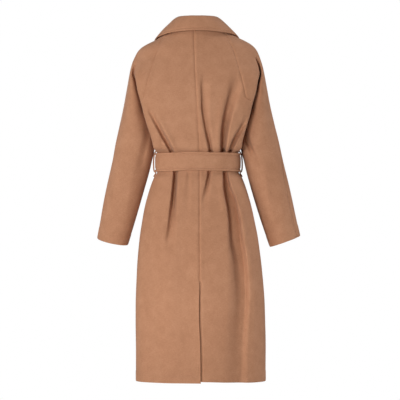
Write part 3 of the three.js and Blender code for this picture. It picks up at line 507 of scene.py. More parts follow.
def rows_between(side, tube, start, stop, heights, columns):
    """Rows from one seam to the other. heights gives z for each share of a row."""
    share = np.linspace(0, 1, FINE + 1)[None, :]
    s = start[:, None] + (stop - start)[:, None] * share
    return evenly(skin(side, tube, s, heights(share)), columns)


def outwards(grid):
    """The grid's normals, on the side that faces away from the coat's inside."""
    normal = grid_normals(grid)
    middle = grid.reshape(-1, 3).mean(axis=0)
    centre = np.array([0 if abs(middle[0]) < ARM_APART else middle[0], 0, middle[2]])
    facing = ((grid - centre) * normal).sum()
    return normal * (1 if facing > 0 else -1)


def sew(grid, first=True):
    """The dips into the seams at the last column and, unless it is a free edge, at the first."""
    lengths = lengths_along(grid)
    lift = np.zeros(lengths.shape)
    dip = SEAM_DIP("mm", grid[..., 2])
    for distance in ([lengths] if first else []) + [lengths[:, -1:] - lengths]:
        swell = TURNINGS_SWELL * bump(distance, *TURNINGS)
        lift += swell - dip * np.exp(-((distance / DIP_WIDTH) ** 1.5))
    sunk = grid + outwards(grid) * lift[..., None]
    if first:
        sunk[:, 0] += SEAM_TUCK * unit(grid[:, 0] - grid[:, 1])
    sunk[:, -1] += SEAM_TUCK * unit(grid[:, -1] - grid[:, -2])
    return sunk


def ripple(grid, size=0.5):
    """The slight unevenness that hanging cloth always has, as a few long waves."""
    x, y, z = (grid[..., k] for k in range(3))
    wave = (np.sin(x / 31 + z / 83 + 0.4) + np.sin(y / 27 - z / 61 + 1.9)
            + np.sin((x + y) / 19 + z / 47 + 4.1) * 0.6 + np.sin(x / 53 - z / 29 + 2.6) * 0.5)
    return grid + outwards(grid) * (size * wave / 2)[..., None]


print("a seam dips up to", float(SEAM_DIP("mm", HEM)), "mm into cloth of", CLOTH, "mm")

# %% Cloth from a grid
PIECES = {}


def leaned(points):
    """Points moved to where the coat's lean and its lower shoulder put them."""
    x, z = points[..., 0], points[..., 2]
    drop = SHOULDER_DROP * smooth(*SHOULDER_FROM, x) * smooth(*SHOULDER_OVER, z)
    return points + np.stack([LEAN("x", z), 0 * x, -drop], axis=-1)


def add(name, data):
    """An object that holds this data, put in the scene."""
    item = bpy.data.objects.new(name, data)
    bpy.context.scene.collection.objects.link(item)
    return item


def add_mesh(name, work):
    mesh = bpy.data.meshes.new(name)
    work.to_mesh(mesh)
    work.free()
    return add(name, mesh)


def stand_in(piece, node):
    """The piece takes its solid's place. What is printed says how far their boxes differ."""
    PIECES[piece.name] = piece
    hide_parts(node)
    low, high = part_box(node)
    co = np.array([v.co for v in piece.data.vertices])
    off = max(np.abs(co.min(0) - low).max(), np.abs(co.max(0) - high).max()) / MM
    print(f"{node}: {len(co)} points, a box within {off:.1f} mm of its solid's")


def cloth(node, grid, normal, thickness=CLOTH, bevel=0.8, offset=-1.0, weld=False):
    """Cloth for a node. Its points are the grid's, in millimetres, and modifiers add a wall."""
    grid = leaned(grid)
    rows, columns = grid.shape[:2]
    across = lengths_along(grid) * MM
    down = (lengths_down(grid) * MM).mean(axis=1)
    work = bmesh.new()
    uv = work.loops.layers.uv.new("cloth")
    bmesh.ops.create_grid(work, x_segments=columns - 1, y_segments=rows - 1, size=0.5)
    place = {}
    for vertex in work.verts:
        j = round((vertex.co.x + 0.5) * (columns - 1))
        i = round((0.5 - vertex.co.y) * (rows - 1))
        place[vertex] = i, j
        vertex.co = grid[i, j] * MM
    for face in work.faces:
        face.smooth = True
        for loop in face.loops:
            i, j = place[loop.vert]
            loop[uv].uv = across[i, j], -down[i]
    work.normal_update()
    agree = sum(face.normal.dot(Vector(normal[place[face.verts[0]]])) for face in work.faces)
    if agree < 0:
        bmesh.ops.reverse_faces(work, faces=work.faces)
    if weld:
        bmesh.ops.remove_doubles(work, verts=work.verts, dist=0.02 * MM)
    piece = add_mesh(f"{node}_cloth", work)
    wall = piece.modifiers.new("wall", "SOLIDIFY")
    wall.thickness = thickness * MM
    wall.offset = offset
    wall.use_quality_normals = True
    edge = piece.modifiers.new("edge", "BEVEL")
    edge.limit_method = "ANGLE"
    edge.angle_limit = math.radians(60)
    edge.width = bevel * MM
    edge.segments = 2
    edge.profile = 0.5
    stand_in(piece, node)


def dress(pieces):
    """Cloth for each named grid, with its right side out."""
    for node, grid in pieces.items():
        cloth(node, grid, outwards(grid))
    return pieces


print("a piece is a grid that is moved on to the skin")

# %% [markdown]
# ## The back
# Two halves meet in the centre-back seam. From the vent's top down the left half has a free edge
# that laps over the right one, and the right half carries on under it to a hidden edge, so its
# first columns cross over there. The hem is turned up, which leaves the cloth a little thicker
# below a faint line of hidden stitches.

# %% The back halves
BACK_COLUMNS = 108
UNDER_COLUMNS = 14  # the right half's first columns, which cross under the left half
HEM_SHORTER = 4.5  # the right half hangs a little higher at the vent
VENT_EDGE = -4  # the left half's free edge hangs this far over the centre-back line
LAP_LIFT, LAP_REACH = 2.4, 9  # how far that edge stands off, and how soon it settles
PRESS = CLOTH + LAYER_GAP + 2.6  # how far the right half is pressed in under it
LAP_RUN = 60  # and over what height below the vent's top it starts to
UNDER_START = 14  # how far past the centre-back line the right half's main part ends
VENT_BEND = 7  # the right half bends in over this width
TURN_LIFT, TURN_END = 0.7, 0.8  # a turned-up hem is thicker, and rounds in at its fold
TURN_STITCH = 0.5, 2.5  # the pull of its hidden stitches, and their reach
levels = np.concatenate([np.linspace(0, -408, 104), np.linspace(-411, -463, 12),
                         np.linspace(-467, HEM, 150)])


def height_in(level, rise):
    """The top row follows the neckline's rise, and lower rows level out."""
    return level + rise * np.clip(1 + level / NECK_FADE, 0, 1)


def turn_up(grid, depth):
    """The double cloth of a hem, with the slight pull of the stitches that hold it."""
    drop = lengths_down(grid)
    below = drop[-1:] - drop
    pull, reach = TURN_STITCH
    lift = TURN_LIFT * smooth(depth + 3, depth - 3, below) - pull * bump(below, depth, reach)
    lift = lift - TURN_END * smooth(4, 0, below)
    return grid + outwards(grid) * lift[..., None]


def back_rows(side, start, columns):
    rise = NECK_RISE["back"]
    heights = lambda share: height_in(levels[:, None], rise * share ** 2)
    stop = raglan_at(side, "back", height_in(levels, rise))
    return rows_between(side, "trunk", start, stop, heights, columns)


def step_to(x, z):
    """The signed step on the back, counted towards the wearer's left, at which x is reached."""
    return np.sign(x) * trunk_at("back", np.abs(x), z)


def left_edge():
    return CENTRE_BACK("x", levels) + VENT_EDGE * smooth(VENT_TOP, VENT_TOP - 8, levels)


def sewn_to_vent(grid, run):
    """The centre-back seam is sewn down to the vent's top, and fades out over a short run."""
    whole = smooth(VENT_TOP, VENT_TOP + run, levels)[:, None, None]
    return mix(sew(grid, first=False), sew(grid), whole)


def back_left():
    grid = back_rows(1, step_to(left_edge(), levels), BACK_COLUMNS)
    lifted = smooth(VENT_TOP, VENT_TOP - LAP_RUN, levels)[:, None]
    grid[..., 1] += LAP_LIFT * lifted * np.exp(-lengths_along(grid) / LAP_REACH)
    return ripple(turn_up(sewn_to_vent(grid, 6), HEM_TURN))


def back_right():
    seam = CENTRE_BACK("x", levels)
    start = -step_to(seam - UNDER_START, levels)
    main = back_rows(-1, start, BACK_COLUMNS - UNDER_COLUMNS)
    share = np.linspace(0, 1, UNDER_COLUMNS, endpoint=False)[None, :]
    below = smooth(VENT_TOP - 1, VENT_TOP - 8, levels)
    over = mix(seam, VENT_LAP, below)[:, None]
    x = over + (main[:, :1, 0] - over) * share
    z = np.repeat(height_in(levels, 0)[:, None], UNDER_COLUMNS, axis=1)
    under = skin(1, "trunk", step_to(x, z), z)
    pressed = smooth(VENT_TOP + 7, VENT_TOP, levels)[:, None]
    flat_from = left_edge()[:, None] - 2
    under[..., 1] -= PRESS * pressed * smooth(flat_from - VENT_BEND, flat_from, x)
    grid = sewn_to_vent(np.concatenate([under, main], axis=1), 10)
    short = HEM_SHORTER * smooth(-900, HEM, levels)[:, None] * smooth(-170, 20, grid[..., 0])
    grid[..., 2] += short
    return ripple(turn_up(grid, HEM_TURN))


BACK = dress({"back_left": back_left(), "back_right": back_right()})

# %% [markdown]
# ## The fronts
# Nothing of the fronts shows from behind, so they are plain wrap fronts. The wearer's right one
# lies on top, and the left one is pressed in under it by one thickness of cloth and some air.

# %% The fronts
FRONT_COLUMNS = 88
WRAP_BEND = 16, 5  # the left front is pressed in between these widths past the right one's edge


def front(side):
    z = height_in(levels, NECK_RISE["front"])
    edge = FRONT_EDGE("x", z)
    start = 8 - np.sign(edge) * trunk_at("front", np.abs(edge), z)
    stop = 8 - raglan_at(side, "front", z)
    heights = lambda share: z[:, None] + 0 * share
    grid = rows_between(side, "trunk", start, stop, heights, FRONT_COLUMNS)
    if side > 0:
        start, stop = -edge[:, None] + WRAP_BEND[0], -edge[:, None] + WRAP_BEND[1]
        grid[..., 1] += (CLOTH + LAYER_GAP) * smooth(start, stop, grid[..., 0])
    return ripple(turn_up(sew(grid, first=False), HEM_TURN))


FRONTS = dress({"front_left": front(1), "front_right": front(-1)})

# %% [markdown]
# ## The sleeves
# A raglan sleeve reaches to the neck. Each one is cut as a back and a front half, joined over the
# shoulder and along the arm, and again under the arm. The trunk's seam and the sleeve's seam use
# the same line on the skin, so they meet without fitting.

# %% The sleeves
SLEEVE_COLUMNS = 56
SIDES = {"left": 1, "right": -1}  # the wearer's
sleeve_levels = np.concatenate([np.linspace(0, UNDERARM, 84), np.linspace(-290, CUFF, 104)])


def sleeve(name, face):
    side, level, rise = SIDES[name], sleeve_levels, NECK_RISE[face]
    steps = raglan_at(side, face, height_in(level, rise))
    start = steps if face == "back" else 8 - steps
    stop = 2 + OVERARM(name, level)
    heights = lambda share: height_in(level[:, None], mix(rise, NECK_RISE["shoulder"], share))
    grid = rows_between(side, "sleeve", start, stop, heights, SLEEVE_COLUMNS)
    return ripple(turn_up(sew(grid), CUFF_TURN), 0.4)


SLEEVES = dress({f"sleeve_{face}_{name}": sleeve(name, face)
                 for name in SIDES for face in ("back", "front")})

# %% [markdown]
# ## The collar
# A wide collar is turned down over its own stand. One section of it rises from the neck seam,
# rolls over and falls to the edge, and the sections are swept round the neck. A few lines through
# named places give the seam, the roll and the edge, and a curve through each line keeps it fair.

# %% The collar's lines
COLLAR_THICKNESS = 3.2
COLLAR_ROLL = 3.2  # how far the fall stands off the stand at the roll
COLLAR_STITCH = 8.2  # from the edge
SEAM_LINE = ((0, 58.8, 0.5), (30, 54.5, 1.7), (57, 40, 4.7), (69.5, 20, 7.4), (73.5, -2, 9),
             (72, -22, 3.5), (64, -38.5, -2.8), (49.8, -47.8, -2.9), (48, -51, -12),
             (44.5, -72, -38), (39, -91, -72), (30.9, -109.8, -122), (21.5, -120.6, -174),
             (11.5, -126.9, -222), (2.8, -128.8, -260))
ROLL_LINE = ((0, 61, 27), (24, 57, 27), (44, 45, 27), (55, 24, 27.5), (60, -2, 27), (59, -32, 18),
             (54.5, -56, 6), (51, -67, -7), (48, -74, -18), (43, -89, -40), (36, -107, -72),
             (28, -123, -122), (19, -133, -174), (10.5, -138, -222), (2.6, -139.5, -260))
EDGE_LINE = ((0, 81, -20.5), (37, 78, -21.5), (74, 64, -24.5), (106, 41, -27.5), (129, 0, -32.5),
             (137, -44, -45), (134, -72, -65), (129, -86, -87), (125, -96, -106),
             (115, -108, -134), (101, -119, -160), (80, -131, -198), (55, -138, -233),
             (29, -141, -258), (9, -141.5, -277))
PUFF = (4, 4, 5, 5, 5, 6, 8, 9, 9, 9, 8, 7, 5, 3, 1)  # how far the fall swells, place by place


def fair(points, at):
    """A centripetal curve through the points, at positions 0, 1, 2 and so on along the list."""
    points = np.asarray(points, float)
    before, after = 2 * points[:1] - points[1:2], 2 * points[-1:] - points[-2:-1]
    points = np.concatenate([before, points, after])
    i = np.clip(np.floor(at).astype(int), 0, len(points) - 4)
    t = (at - i).reshape((-1,) + (1,) * (points.ndim - 1))
    p0, p1, p2, p3 = (points[i + k] for k in range(4))
    step = [np.sqrt(np.maximum(np.linalg.norm(b - a, axis=-1, keepdims=True), 1e-4))
            for a, b in ((p0, p1), (p1, p2), (p2, p3))]
    slope_1 = (p1 - p0) / step[0] - (p2 - p0) / (step[0] + step[1]) + (p2 - p1) / step[1]
    slope_2 = (p2 - p1) / step[1] - (p3 - p1) / (step[1] + step[2]) + (p3 - p2) / step[2]
    return hermite(p1, p2, slope_1 * step[1], slope_2 * step[1], t)


def both_sides(line):
    half = np.array(line, float)
    return np.concatenate([half[:0:-1] * (-1, 1, 1), half])


print("the collar's edge is", 2 * EDGE_LINE[5][0], "mm across")

# %% The collar's cloth
COLLAR_SECTIONS = 240
COLLAR_STEPS = 48


def collar_grid():
    at = np.linspace(0, 2 * (len(PUFF) - 1), COLLAR_SECTIONS + 1)
    seam, roll, edge = (fair(both_sides(line), at) for line in (SEAM_LINE, ROLL_LINE, EDGE_LINE))
    puff = np.interp(np.abs(at - len(PUFF) + 1), range(len(PUFF)), PUFF)[:, None]
    fall = edge - roll
    lean = unit(fall * (1, 1, 0))
    bulge = unit(np.cross(fall, np.cross(lean, (0, 0, 1))))
    bulge *= np.sign((bulge * lean).sum(axis=1, keepdims=True))
    section = np.stack([
        seam, mix(seam, roll, 0.82), roll, mix(roll, edge, 0.1) + bulge * COLLAR_ROLL,
        mix(roll, edge, 0.5) + bulge * puff, mix(roll, edge, 0.8) + bulge * puff * 0.55, edge])
    curve = fair(section, np.linspace(0, len(section) - 1, FINE + 1)).swapaxes(0, 1)
    return evenly(curve, COLLAR_STEPS).swapaxes(0, 1)


def collar_cloth():
    """The collar's grid, drawn in along its stitches and waving a little, and its normals."""
    grid = collar_grid()
    normal = grid_normals(grid)
    normal *= 1 if normal[-6, COLLAR_SECTIONS // 2, 1] > 0 else -1
    drop, round_it = lengths_down(grid), lengths_along(grid)
    below = drop[-1:] - drop
    lift = 0.6 * bump(below, 3.8, 3) - 1.5 * bump(below, COLLAR_STITCH, 2.2)
    lift += 0.4 * bump(below, 12.5, 4)
    lift += 0.7 * np.sin(round_it / 37 + drop / 60 + 0.8) * smooth(40, 70, drop)
    short_wave = 0.5 * np.sin(round_it / 19 - drop / 23 + 2.2)
    lift += short_wave * smooth(40, 60, drop) * smooth(0, 30, below)
    return grid + normal * lift[..., None], normal


collar, collar_normal = collar_cloth()
cloth("collar", collar, collar_normal, COLLAR_THICKNESS, 1.0, 0.0)

# %% [markdown]
# ## The belt
# The belt is two layers of the same wool, sewn together and topstitched a little inside both
# edges. It goes round the waist on top of the coat, is knotted in front, and its ends hang on
# the skirt. The band is a grid bent into a ring, and its last column is merged with its first.

# %% The belt's band
BELT_WIDE = BELT_TOP - BELT_BOTTOM
BELT_STITCH = 8  # from the edge
BELT_COLUMNS = 360
BELT_ROWS = 32
BELT_RISE = 3.2  # how much higher the belt sits at the back
BELT_WAVES = 12  # in the shortest unevenness, round the waist
STITCH_DIP = 2.1


def belt_line(away):
    """The coat's outline under the belt, moved out, from the centre front round by the left."""
    q = np.linspace(0, 2, FINE + 1)
    z = np.full(q.shape, WAIST)
    quarter = lambda side, face: skin(side, "trunk", q if face == "back" else 8 - q, z, False)
    ring = np.concatenate([quarter(1, "front")[:-1], quarter(1, "back")[:0:-1],
                           quarter(-1, "back")[:-1], quarter(-1, "front")[::-1]])
    ring = evenly(ring[None], BELT_COLUMNS)[0]
    along = unit(np.roll(ring[:-1], -1, axis=0) - np.roll(ring[:-1], 1, axis=0))
    out = np.stack([along[:, 1], -along[:, 0], 0 * along[:, 0]], axis=1)
    out = np.concatenate([out, out[:1]])
    out *= 1 if (out * ring * (1, 1, 0)).sum() > 0 else -1
    return ring + out * away, out


def belt_relief(from_middle, length):
    """The cloth is pulled in along the stitches and stands up between them."""
    half = BELT_WIDE / 2
    inside = half - np.abs(from_middle)
    lift = -STITCH_DIP * bump(inside, BELT_STITCH, 2.8) + 0.5 * smooth(BELT_STITCH, half, inside)
    lift += 0.8 * bump(inside, 3.8, 3)
    return lift + 0.3 * np.sin(length / 23 + from_middle / 14) + 0.22 * np.sin(length / 11 + 1.3)


def belt_band():
    line, out = belt_line(BELT_EASE + BELT_THICKNESS)
    length = lengths_along(line)[None, :]
    from_middle = np.linspace(BELT_WIDE / 2, -BELT_WIDE / 2, BELT_ROWS + 1)[:, None]
    lift = belt_relief(from_middle, length * (2 * math.pi * BELT_WAVES / length[0, -1] * 11))
    grid = line[None] + out[None] * lift[..., None]
    rise = BELT_RISE * smooth(20, 85, line[:, 1]) * (1 - 0.25 * (line[:, 0] / 60) ** 2)
    waver = 0.7 * np.sin(line[:, 0] / 21 + 0.5)
    grid[..., 2] = WAIST + from_middle + (rise + waver)[None, :]
    grid[:, -1] = grid[:, 0]
    return grid, np.repeat(out[None], BELT_ROWS + 1, axis=0)


band, band_out = belt_band()
cloth("belt_band", band, band_out, BELT_THICKNESS - 0.3, 1.3, weld=True)
print("belt", round(float(lengths_along(band)[0, -1])), "mm round")

# %% [markdown]
# ## The belt's hanging ends
# Both ends leave the knot narrow and gathered, and spread to their full width lower down.

# %% The belt's ends
BELT_FACE = float(CENTRE("front", BELT_TOP)) + BELT_EASE + BELT_THICKNESS
END_ROWS, END_COLUMNS = 150, 28
BELT_END = {
    "left": Table(
        "z x width off",
        (-463.5, 24, 40, 4.3), (-490, 30, 50, 4.3), (-560, 42, 57, 4), (-680, 53, 58, 4),
        (-850, 58, 58, 4)),
    "right": Table(
        "z x width off",
        (-463.5, -2, 40, 8.8), (-490, -8, 50, 8.8), (-560, -18, 57, 8.6), (-680, -26, 58, 6),
        (-815, -30, 58, 4)),
}
END_PLEAT = {"left": (-8, 3, 13), "right": (-11, 0, 9)}  # where it is gathered under the knot
PLEAT_RUN = -120, -6  # the pleats fade in between these heights under the end's top


def belt_end(name):
    read = BELT_END[name]
    z = np.linspace(read.z[0], read.z[-1], END_ROWS + 1)[:, None]
    share = np.linspace(-0.5, 0.5, END_COLUMNS + 1)[None, :]
    across = read("width", z) * share
    x = read("x", z) + across
    d = -skin(np.sign(x), "trunk", 8 - trunk_at("front", np.abs(x), z), z + 0 * x, False)[..., 1]
    rest = np.maximum(d, BELT_FACE - 4)
    out = rest + read("off", z) + BELT_THICKNESS
    inside = read("width", z) / 2 - np.abs(across)
    out = out - STITCH_DIP * 0.8 * bump(inside, BELT_STITCH, 1.6)
    gathered = smooth(*(read.z[0] + np.array(PLEAT_RUN)), z)
    for centre in END_PLEAT[name]:
        pleat = 1.5 * bump(across, centre + 4, 3.4) - 1.3 * bump(across, centre, 2.2)
        out = out + gathered * pleat
    out = out - 1.2 * smooth(5, 0, z - read.z[-1])
    return np.stack([x, -out, z + 0 * x], axis=-1)


for name in BELT_END:
    grid = belt_end(name)
    cloth(f"belt_end_{name}", grid, grid * 0 + (0, -1, 0), BELT_THICKNESS - 0.2, 1.2)

# %% [markdown]
# ## The knot
# A tied belt goes once over itself. What shows is a short band of gathered cloth over a rounded
# lump, so a ball is made boxy, and creases are pressed into it along the way that the cloth runs.

# %% The knot
KNOT = {"x": 10, "width": 50, "height": 50, "depth": 22, "square": 0.72}
KNOT_SLANT = 0.55  # the cloth crosses the knot at a slant
KNOT_BAND = 0.52  # half the width of the band that goes over it, as a share of the knot's
PLEAT, EAR = 0.05, 0.055  # how deep the creases are in the band and beside it


def belt_knot():
    work = bmesh.new()
    bmesh.ops.create_uvsphere(work, u_segments=96, v_segments=72, radius=1)
    uv = work.loops.layers.uv.new("cloth")
    for face in work.faces:
        face.smooth = True
        for loop in face.loops:
            co = loop.vert.co
            loop[uv].uv = co.x * 0.03, co.z * 0.03
    boxy = lambda v: math.copysign(abs(v) ** KNOT["square"], v)
    for vertex in work.verts:
        x, y, z = vertex.co
        along, run = (x + KNOT_SLANT * z) * 0.88, (z - KNOT_SLANT * x) * 0.88
        over = math.exp(-((along / KNOT_BAND) ** 4))
        pleats = over * PLEAT * math.sin(along * 21 + 1.2 * run + 0.6)
        ears = (1 - over) * EAR * math.sin(run * 13 + 2.1 * along)
        step = 0.1 * over - 0.1 * math.exp(-(((abs(along) - 0.6) / 0.09) ** 2))
        size = 1 - 0.07 + step + pleats + ears
        vertex.co = (boxy(x) * KNOT["width"] / 2 * (1 + (size - 1) * 0.5),
                     boxy(y) * KNOT["depth"] / 2 * size,
                     boxy(z) * KNOT["height"] / 2 * (1 + (size - 1) * 0.4))
    middle = KNOT["x"] + float(LEAN("x", WAIST))
    place = Vector((middle, -(BELT_FACE + KNOT["depth"] / 2 - 0.6), WAIST))
    bmesh.ops.translate(work, verts=work.verts, vec=place)
    bmesh.ops.scale(work, verts=work.verts, vec=(MM, MM, MM))
    return add_mesh("belt_knot_cloth", work)


stand_in(belt_knot(), "belt_knot")

# %% [markdown]
# ## The belt loops
# A loop is a narrow strip down the side seam. It is sewn to the coat above and below the belt and
# bows out round it.

# %% The loops
LOOP = {"y": -10, "width": 8.6, "thickness": 3.9}
LOOP_LINE = Table(
    "z off",
    (-393, 0.9), (-399, 1.2), (-404, 4.4), (-410, 7.4), (-422, 9.2), (-438, 10.2), (-455, 9.8),
    (-465, 7.8), (-471, 4.4), (-477, 1.2), (-484, 0.9))


def belt_loop(side):
    z = np.linspace(LOOP_LINE.z[0], LOOP_LINE.z[-1], 81)[:, None]
    seam = lambda at: FLANK("side_x", at)
    lean = (seam(z + 1) - seam(z - 1)) / 2
    across = np.linspace(-0.5, 0.5, 9)[None, :]
    ridge = 0.25 * np.cos(across * 2 * math.pi)
    away = (LOOP_LINE("off", z) + LOOP["thickness"] + ridge) / np.hypot(1, lean)
    return np.stack([side * (seam(z) + away), LOOP["y"] + across * LOOP["width"] + 0 * z,
                     z - lean * away], axis=-1)


LOOPS = {name: belt_loop(side) for name, side in SIDES.items()}
for name, grid in LOOPS.items():
    cloth(f"belt_loop_{name}", grid, grid * 0 + (SIDES[name], 0, 0), LOOP["thickness"], 0.7)

# %% [markdown]
# ## Topstitching
# The belt and the collar are topstitched with thread of the cloth's own colour. A stitch is one
# small rounded bar that sinks into the dip which the row of stitches pulls into the cloth. Each is
# a box of a few faces, because there are hundreds of them.

# %% Stitches
STITCH_LENGTH, STITCH_PITCH, THREAD = 3.1, 4.4, 0.6
STITCH_BEVEL, STITCH_LIFT = 0.16, 0.08


def stitches(name, line, out):
    """A row of stitches along a line of points, out being the cloth's outward side there."""
    line = leaned(line)
    length = lengths_along(line)
    count = int(length[-1] / STITCH_PITCH)
    read = lambda values, at: Vector(along_line(values, length, at))
    work = bmesh.new()
    for k in range(count):
        at = (k + 0.5) * length[-1] / count
        along = (read(line, min(at + 1, length[-1])) - read(line, max(at - 1, 0))).normalized()
        up = read(out, at)
        up = (up - along * up.dot(along)).normalized()
        turn = Matrix((along, up.cross(along), up)).transposed().to_4x4()
        place = Matrix.Translation((read(line, at) + up * STITCH_LIFT) * MM)
        size = Matrix.Diagonal((STITCH_LENGTH, THREAD, THREAD, 1))
        bmesh.ops.create_cube(work, size=1, matrix=place @ turn @ Matrix.Scale(MM, 4) @ size)
    bmesh.ops.bevel(work, geom=work.edges[:], offset=STITCH_BEVEL * MM, offset_type="OFFSET",
                    segments=1, profile=0.5, affect="EDGES", material=-1)
    for face in work.faces:
        face.smooth = True
    PIECES[name] = add_mesh(name, work)
    print(name, count, "stitches")


def row_at(grid, inside, end):
    """The line on a grid that runs so far inside its first or last row."""
    line = []
    for column in grid.swapaxes(0, 1):
        drop = lengths_along(column)
        at = inside if end == "first" else drop[-1] - inside
        line.append(along_line(column, drop, at))
    return np.array(line)


for name, end in (("top", "first"), ("bottom", "last")):
    stitches(f"belt_stitches_{name}", row_at(band, BELT_STITCH, end), band_out[0])
collar_out = collar_normal[-5]
stitches("collar_stitches", row_at(collar, COLLAR_STITCH, "last")
         + collar_out * COLLAR_THICKNESS / 2, collar_out)

# %% [markdown]
# ## Writing a material as an expression
# A material is a network of small nodes. Here a value is a wrapped socket, and + - * add the Math
# nodes, so a pattern can be read as a formula. One method makes any other node.

# %% Nodes
class Value:
    """A socket of one number, for use in arithmetic."""

    def __init__(self, network, socket):
        self.network, self.socket = network, socket

    def math(self, operation, other):
        return self.network.number("ShaderNodeMath", {"operation": operation},
                                   {0: self, 1: other})

    def __add__(self, other):
        return self.math("ADD", other)

    def __sub__(self, other):
        return self.math("SUBTRACT", other)

    def __mul__(self, other):
        return self.math("MULTIPLY", other)

    __radd__, __rmul__ = __add__, __mul__


class Network:
    """The nodes of a material or a world, and the one way in which they are made."""

    def __init__(self, owner, shader):
        owner.use_nodes = True
        self.owner, self.tree = owner, owner.node_tree
        self.shader = next(n for n in self.tree.nodes if n.type == shader)

    def node(self, kind, settings, inputs):
        node = self.tree.nodes.new(kind)
        for key, value in settings.items():
            if key == "stops":
                ramp = node.color_ramp
                while len(ramp.elements) < len(value):
                    ramp.elements.new(0.5)
                for element, (position, colour) in zip(ramp.elements, value):
                    element.position = position
                    element.color = colour
            else:
                setattr(node, key, value)
        self.feed(node, inputs)
        return node

    def feed(self, node, inputs):
        for key, value in inputs.items():
            socket = value.socket if isinstance(value, Value) else value
            if isinstance(socket, bpy.types.NodeSocket):
                self.tree.links.new(socket, node.inputs[key])
            else:
                node.inputs[key].default_value = socket

    def number(self, kind, settings, inputs):
        return Value(self, self.node(kind, settings, inputs).outputs[0])

    def noise(self, coordinates, scale, detail=2.0, roughness=0.5, distortion=0.0):
        """Noise from 0 to 1, about 0.5. scale is in lumps for each metre."""
        return self.number("ShaderNodeTexNoise", {}, {
            "Vector": coordinates, "Scale": scale, "Detail": detail, "Roughness": roughness,
            "Distortion": distortion})

    def stretched(self, coordinates, scale):
        """The coordinates, squeezed so that a pattern is drawn out along one way."""
        inputs = {"Vector": coordinates, "Scale": scale}
        return self.node("ShaderNodeMapping", {}, inputs).outputs[0]

    def coordinates(self):
        return self.node("ShaderNodeTexCoord", {}, {}).outputs["Object"]

    def colours(self, at, stops):
        settings = {"stops": [(p, (*c, 1)) for p, c in stops]}
        return self.node("ShaderNodeValToRGB", settings, {"Fac": at}).outputs[0]


def material(name):
    return Network(bpy.data.materials.new(name), "BSDF_PRINCIPLED")


print("an expression such as 0.5 + 2 * (grain - 0.5) makes its own nodes")

# %% [markdown]
# ## Brushed camel wool
# The cloth is a heathered wool, milled and brushed, so the weave is nearly hidden under a short
# nap. Its colour wanders a little between fibres, it has faint slubs along the weft, and a soft
# fuzz that lightens its rim. The patterns follow the cloth's own UV map, which is in metres.

# %% The wool
WOOL = ((0.2, (0.33, 0.15, 0.078)), (0.5, (0.445, 0.214, 0.118)), (0.8, (0.56, 0.294, 0.174)))
COTTON = ((0.3, (0.26, 0.12, 0.065)), (0.7, (0.42, 0.21, 0.12)))
RELIEF = {"Strength": 0.55, "Distance": 0.0011}  # of the weave and the nap


def wool(name):
    m = material(name)
    cloth_map = m.node("ShaderNodeUVMap", {"uv_map": "cloth"}, {}).outputs[0]
    object_map = m.coordinates()
    broad = m.noise(object_map, 5.0, 2.0)
    patches = m.noise(object_map, 34.0, 3.0, 0.6)
    weft = m.noise(m.stretched(cloth_map, (1, 9, 1)), 110.0, 3.0, 0.6)
    fibre = m.noise(m.stretched(cloth_map, (1.6, 1, 1)), 900.0, 3.0, 0.7, 0.6)
    nap = m.noise(object_map, 420.0, 4.0, 0.65, 0.4)
    tint = (0.5 + 0.22 * (broad - 0.5) + 0.34 * (patches - 0.5) + 0.42 * (weft - 0.5)
            + 0.75 * (fibre - 0.5) + 0.45 * (nap - 0.5))
    height = 0.55 * nap + 0.3 * fibre + 0.5 * weft + 0.5 * patches
    relief = m.node("ShaderNodeBump", {}, {**RELIEF, "Height": height})
    m.feed(m.shader, {"Base Color": m.colours(tint, WOOL), "Normal": relief.outputs[0],
                      "Roughness": 0.86 + 0.16 * (nap - 0.5), "Specular IOR Level": 0.2,
                      "Sheen Weight": 0.1, "Sheen Roughness": 0.45,
                      "Sheen Tint": (1.0, 0.93, 0.86, 1)})
    return m.owner


def thread(name):
    m = material(name)
    grain = m.noise(m.coordinates(), 1500.0, 2.0)
    m.feed(m.shader, {"Base Color": m.colours(grain, COTTON), "Sheen Weight": 0.1,
                      "Roughness": 0.7 + 0.2 * (grain - 0.5), "Specular IOR Level": 0.3})
    return m.owner


WOOL_CLOTH = wool("camel_wool")
THREAD_COTTON = thread("wool_coloured_thread")
for name, piece in PIECES.items():
    piece.data.materials.append(THREAD_COTTON if "stitches" in name else WOOL_CLOTH)
    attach(piece, "root")
print(len(PIECES), "pieces take the wool")

# %% [markdown]
# ## What each piece was cut to
# A maker cuts a piece flat, then sews it. Its flat width and length are measured along the cloth
# of its own grid, so they follow when a table changes.

# %% Cut sizes
def cut_area(grid):
    """The cloth's own area in square metres, for its cut."""
    a, b, c, d = grid[:-1, :-1], grid[:-1, 1:], grid[1:, 1:], grid[1:, :-1]
    return float((np.linalg.norm(np.cross(c - a, d - b), axis=2) / 2).sum()) * MM * MM


def cut(name, grid, rests_on, turned=0.0):
    across = float(lengths_along(grid)[:, -1].max() + turned) * MM
    down = float(lengths_down(grid)[-1].max()) * MM
    area = min(cut_area(grid) + turned * MM * down, across * down)
    print(f"{name}: {across * 1000:.0f} x {down * 1000:.0f} mm, {area:.3f} m2")


for name, grid in {**BACK, **FRONTS, **SLEEVES}.items():
    cut(name, grid, ["collar"])
cut("collar", collar, ["back_left", "back_right"])
cut("belt_band", band, ["back_left", "back_right"])
for name in BELT_END:
    cut(f"belt_end_{name}", belt_end(name), ["belt_knot"])
for name, grid in LOOPS.items():
    cut(f"belt_loop_{name}", grid, ["back_" + name], LOOP["thickness"])

# %% [markdown]
# ## Camera, light and floor
# The coat is seen level from behind, with a long lens. Ten soft boxes hang round it: the key ones
# behind it on the wearer's left, one of them low down, two high ones and two level ones at its
# sides, a weak fill, and three for its front, so that the folds read without hard shadows. The
# backdrop is white to the camera only, and gives the coat hardly any light.

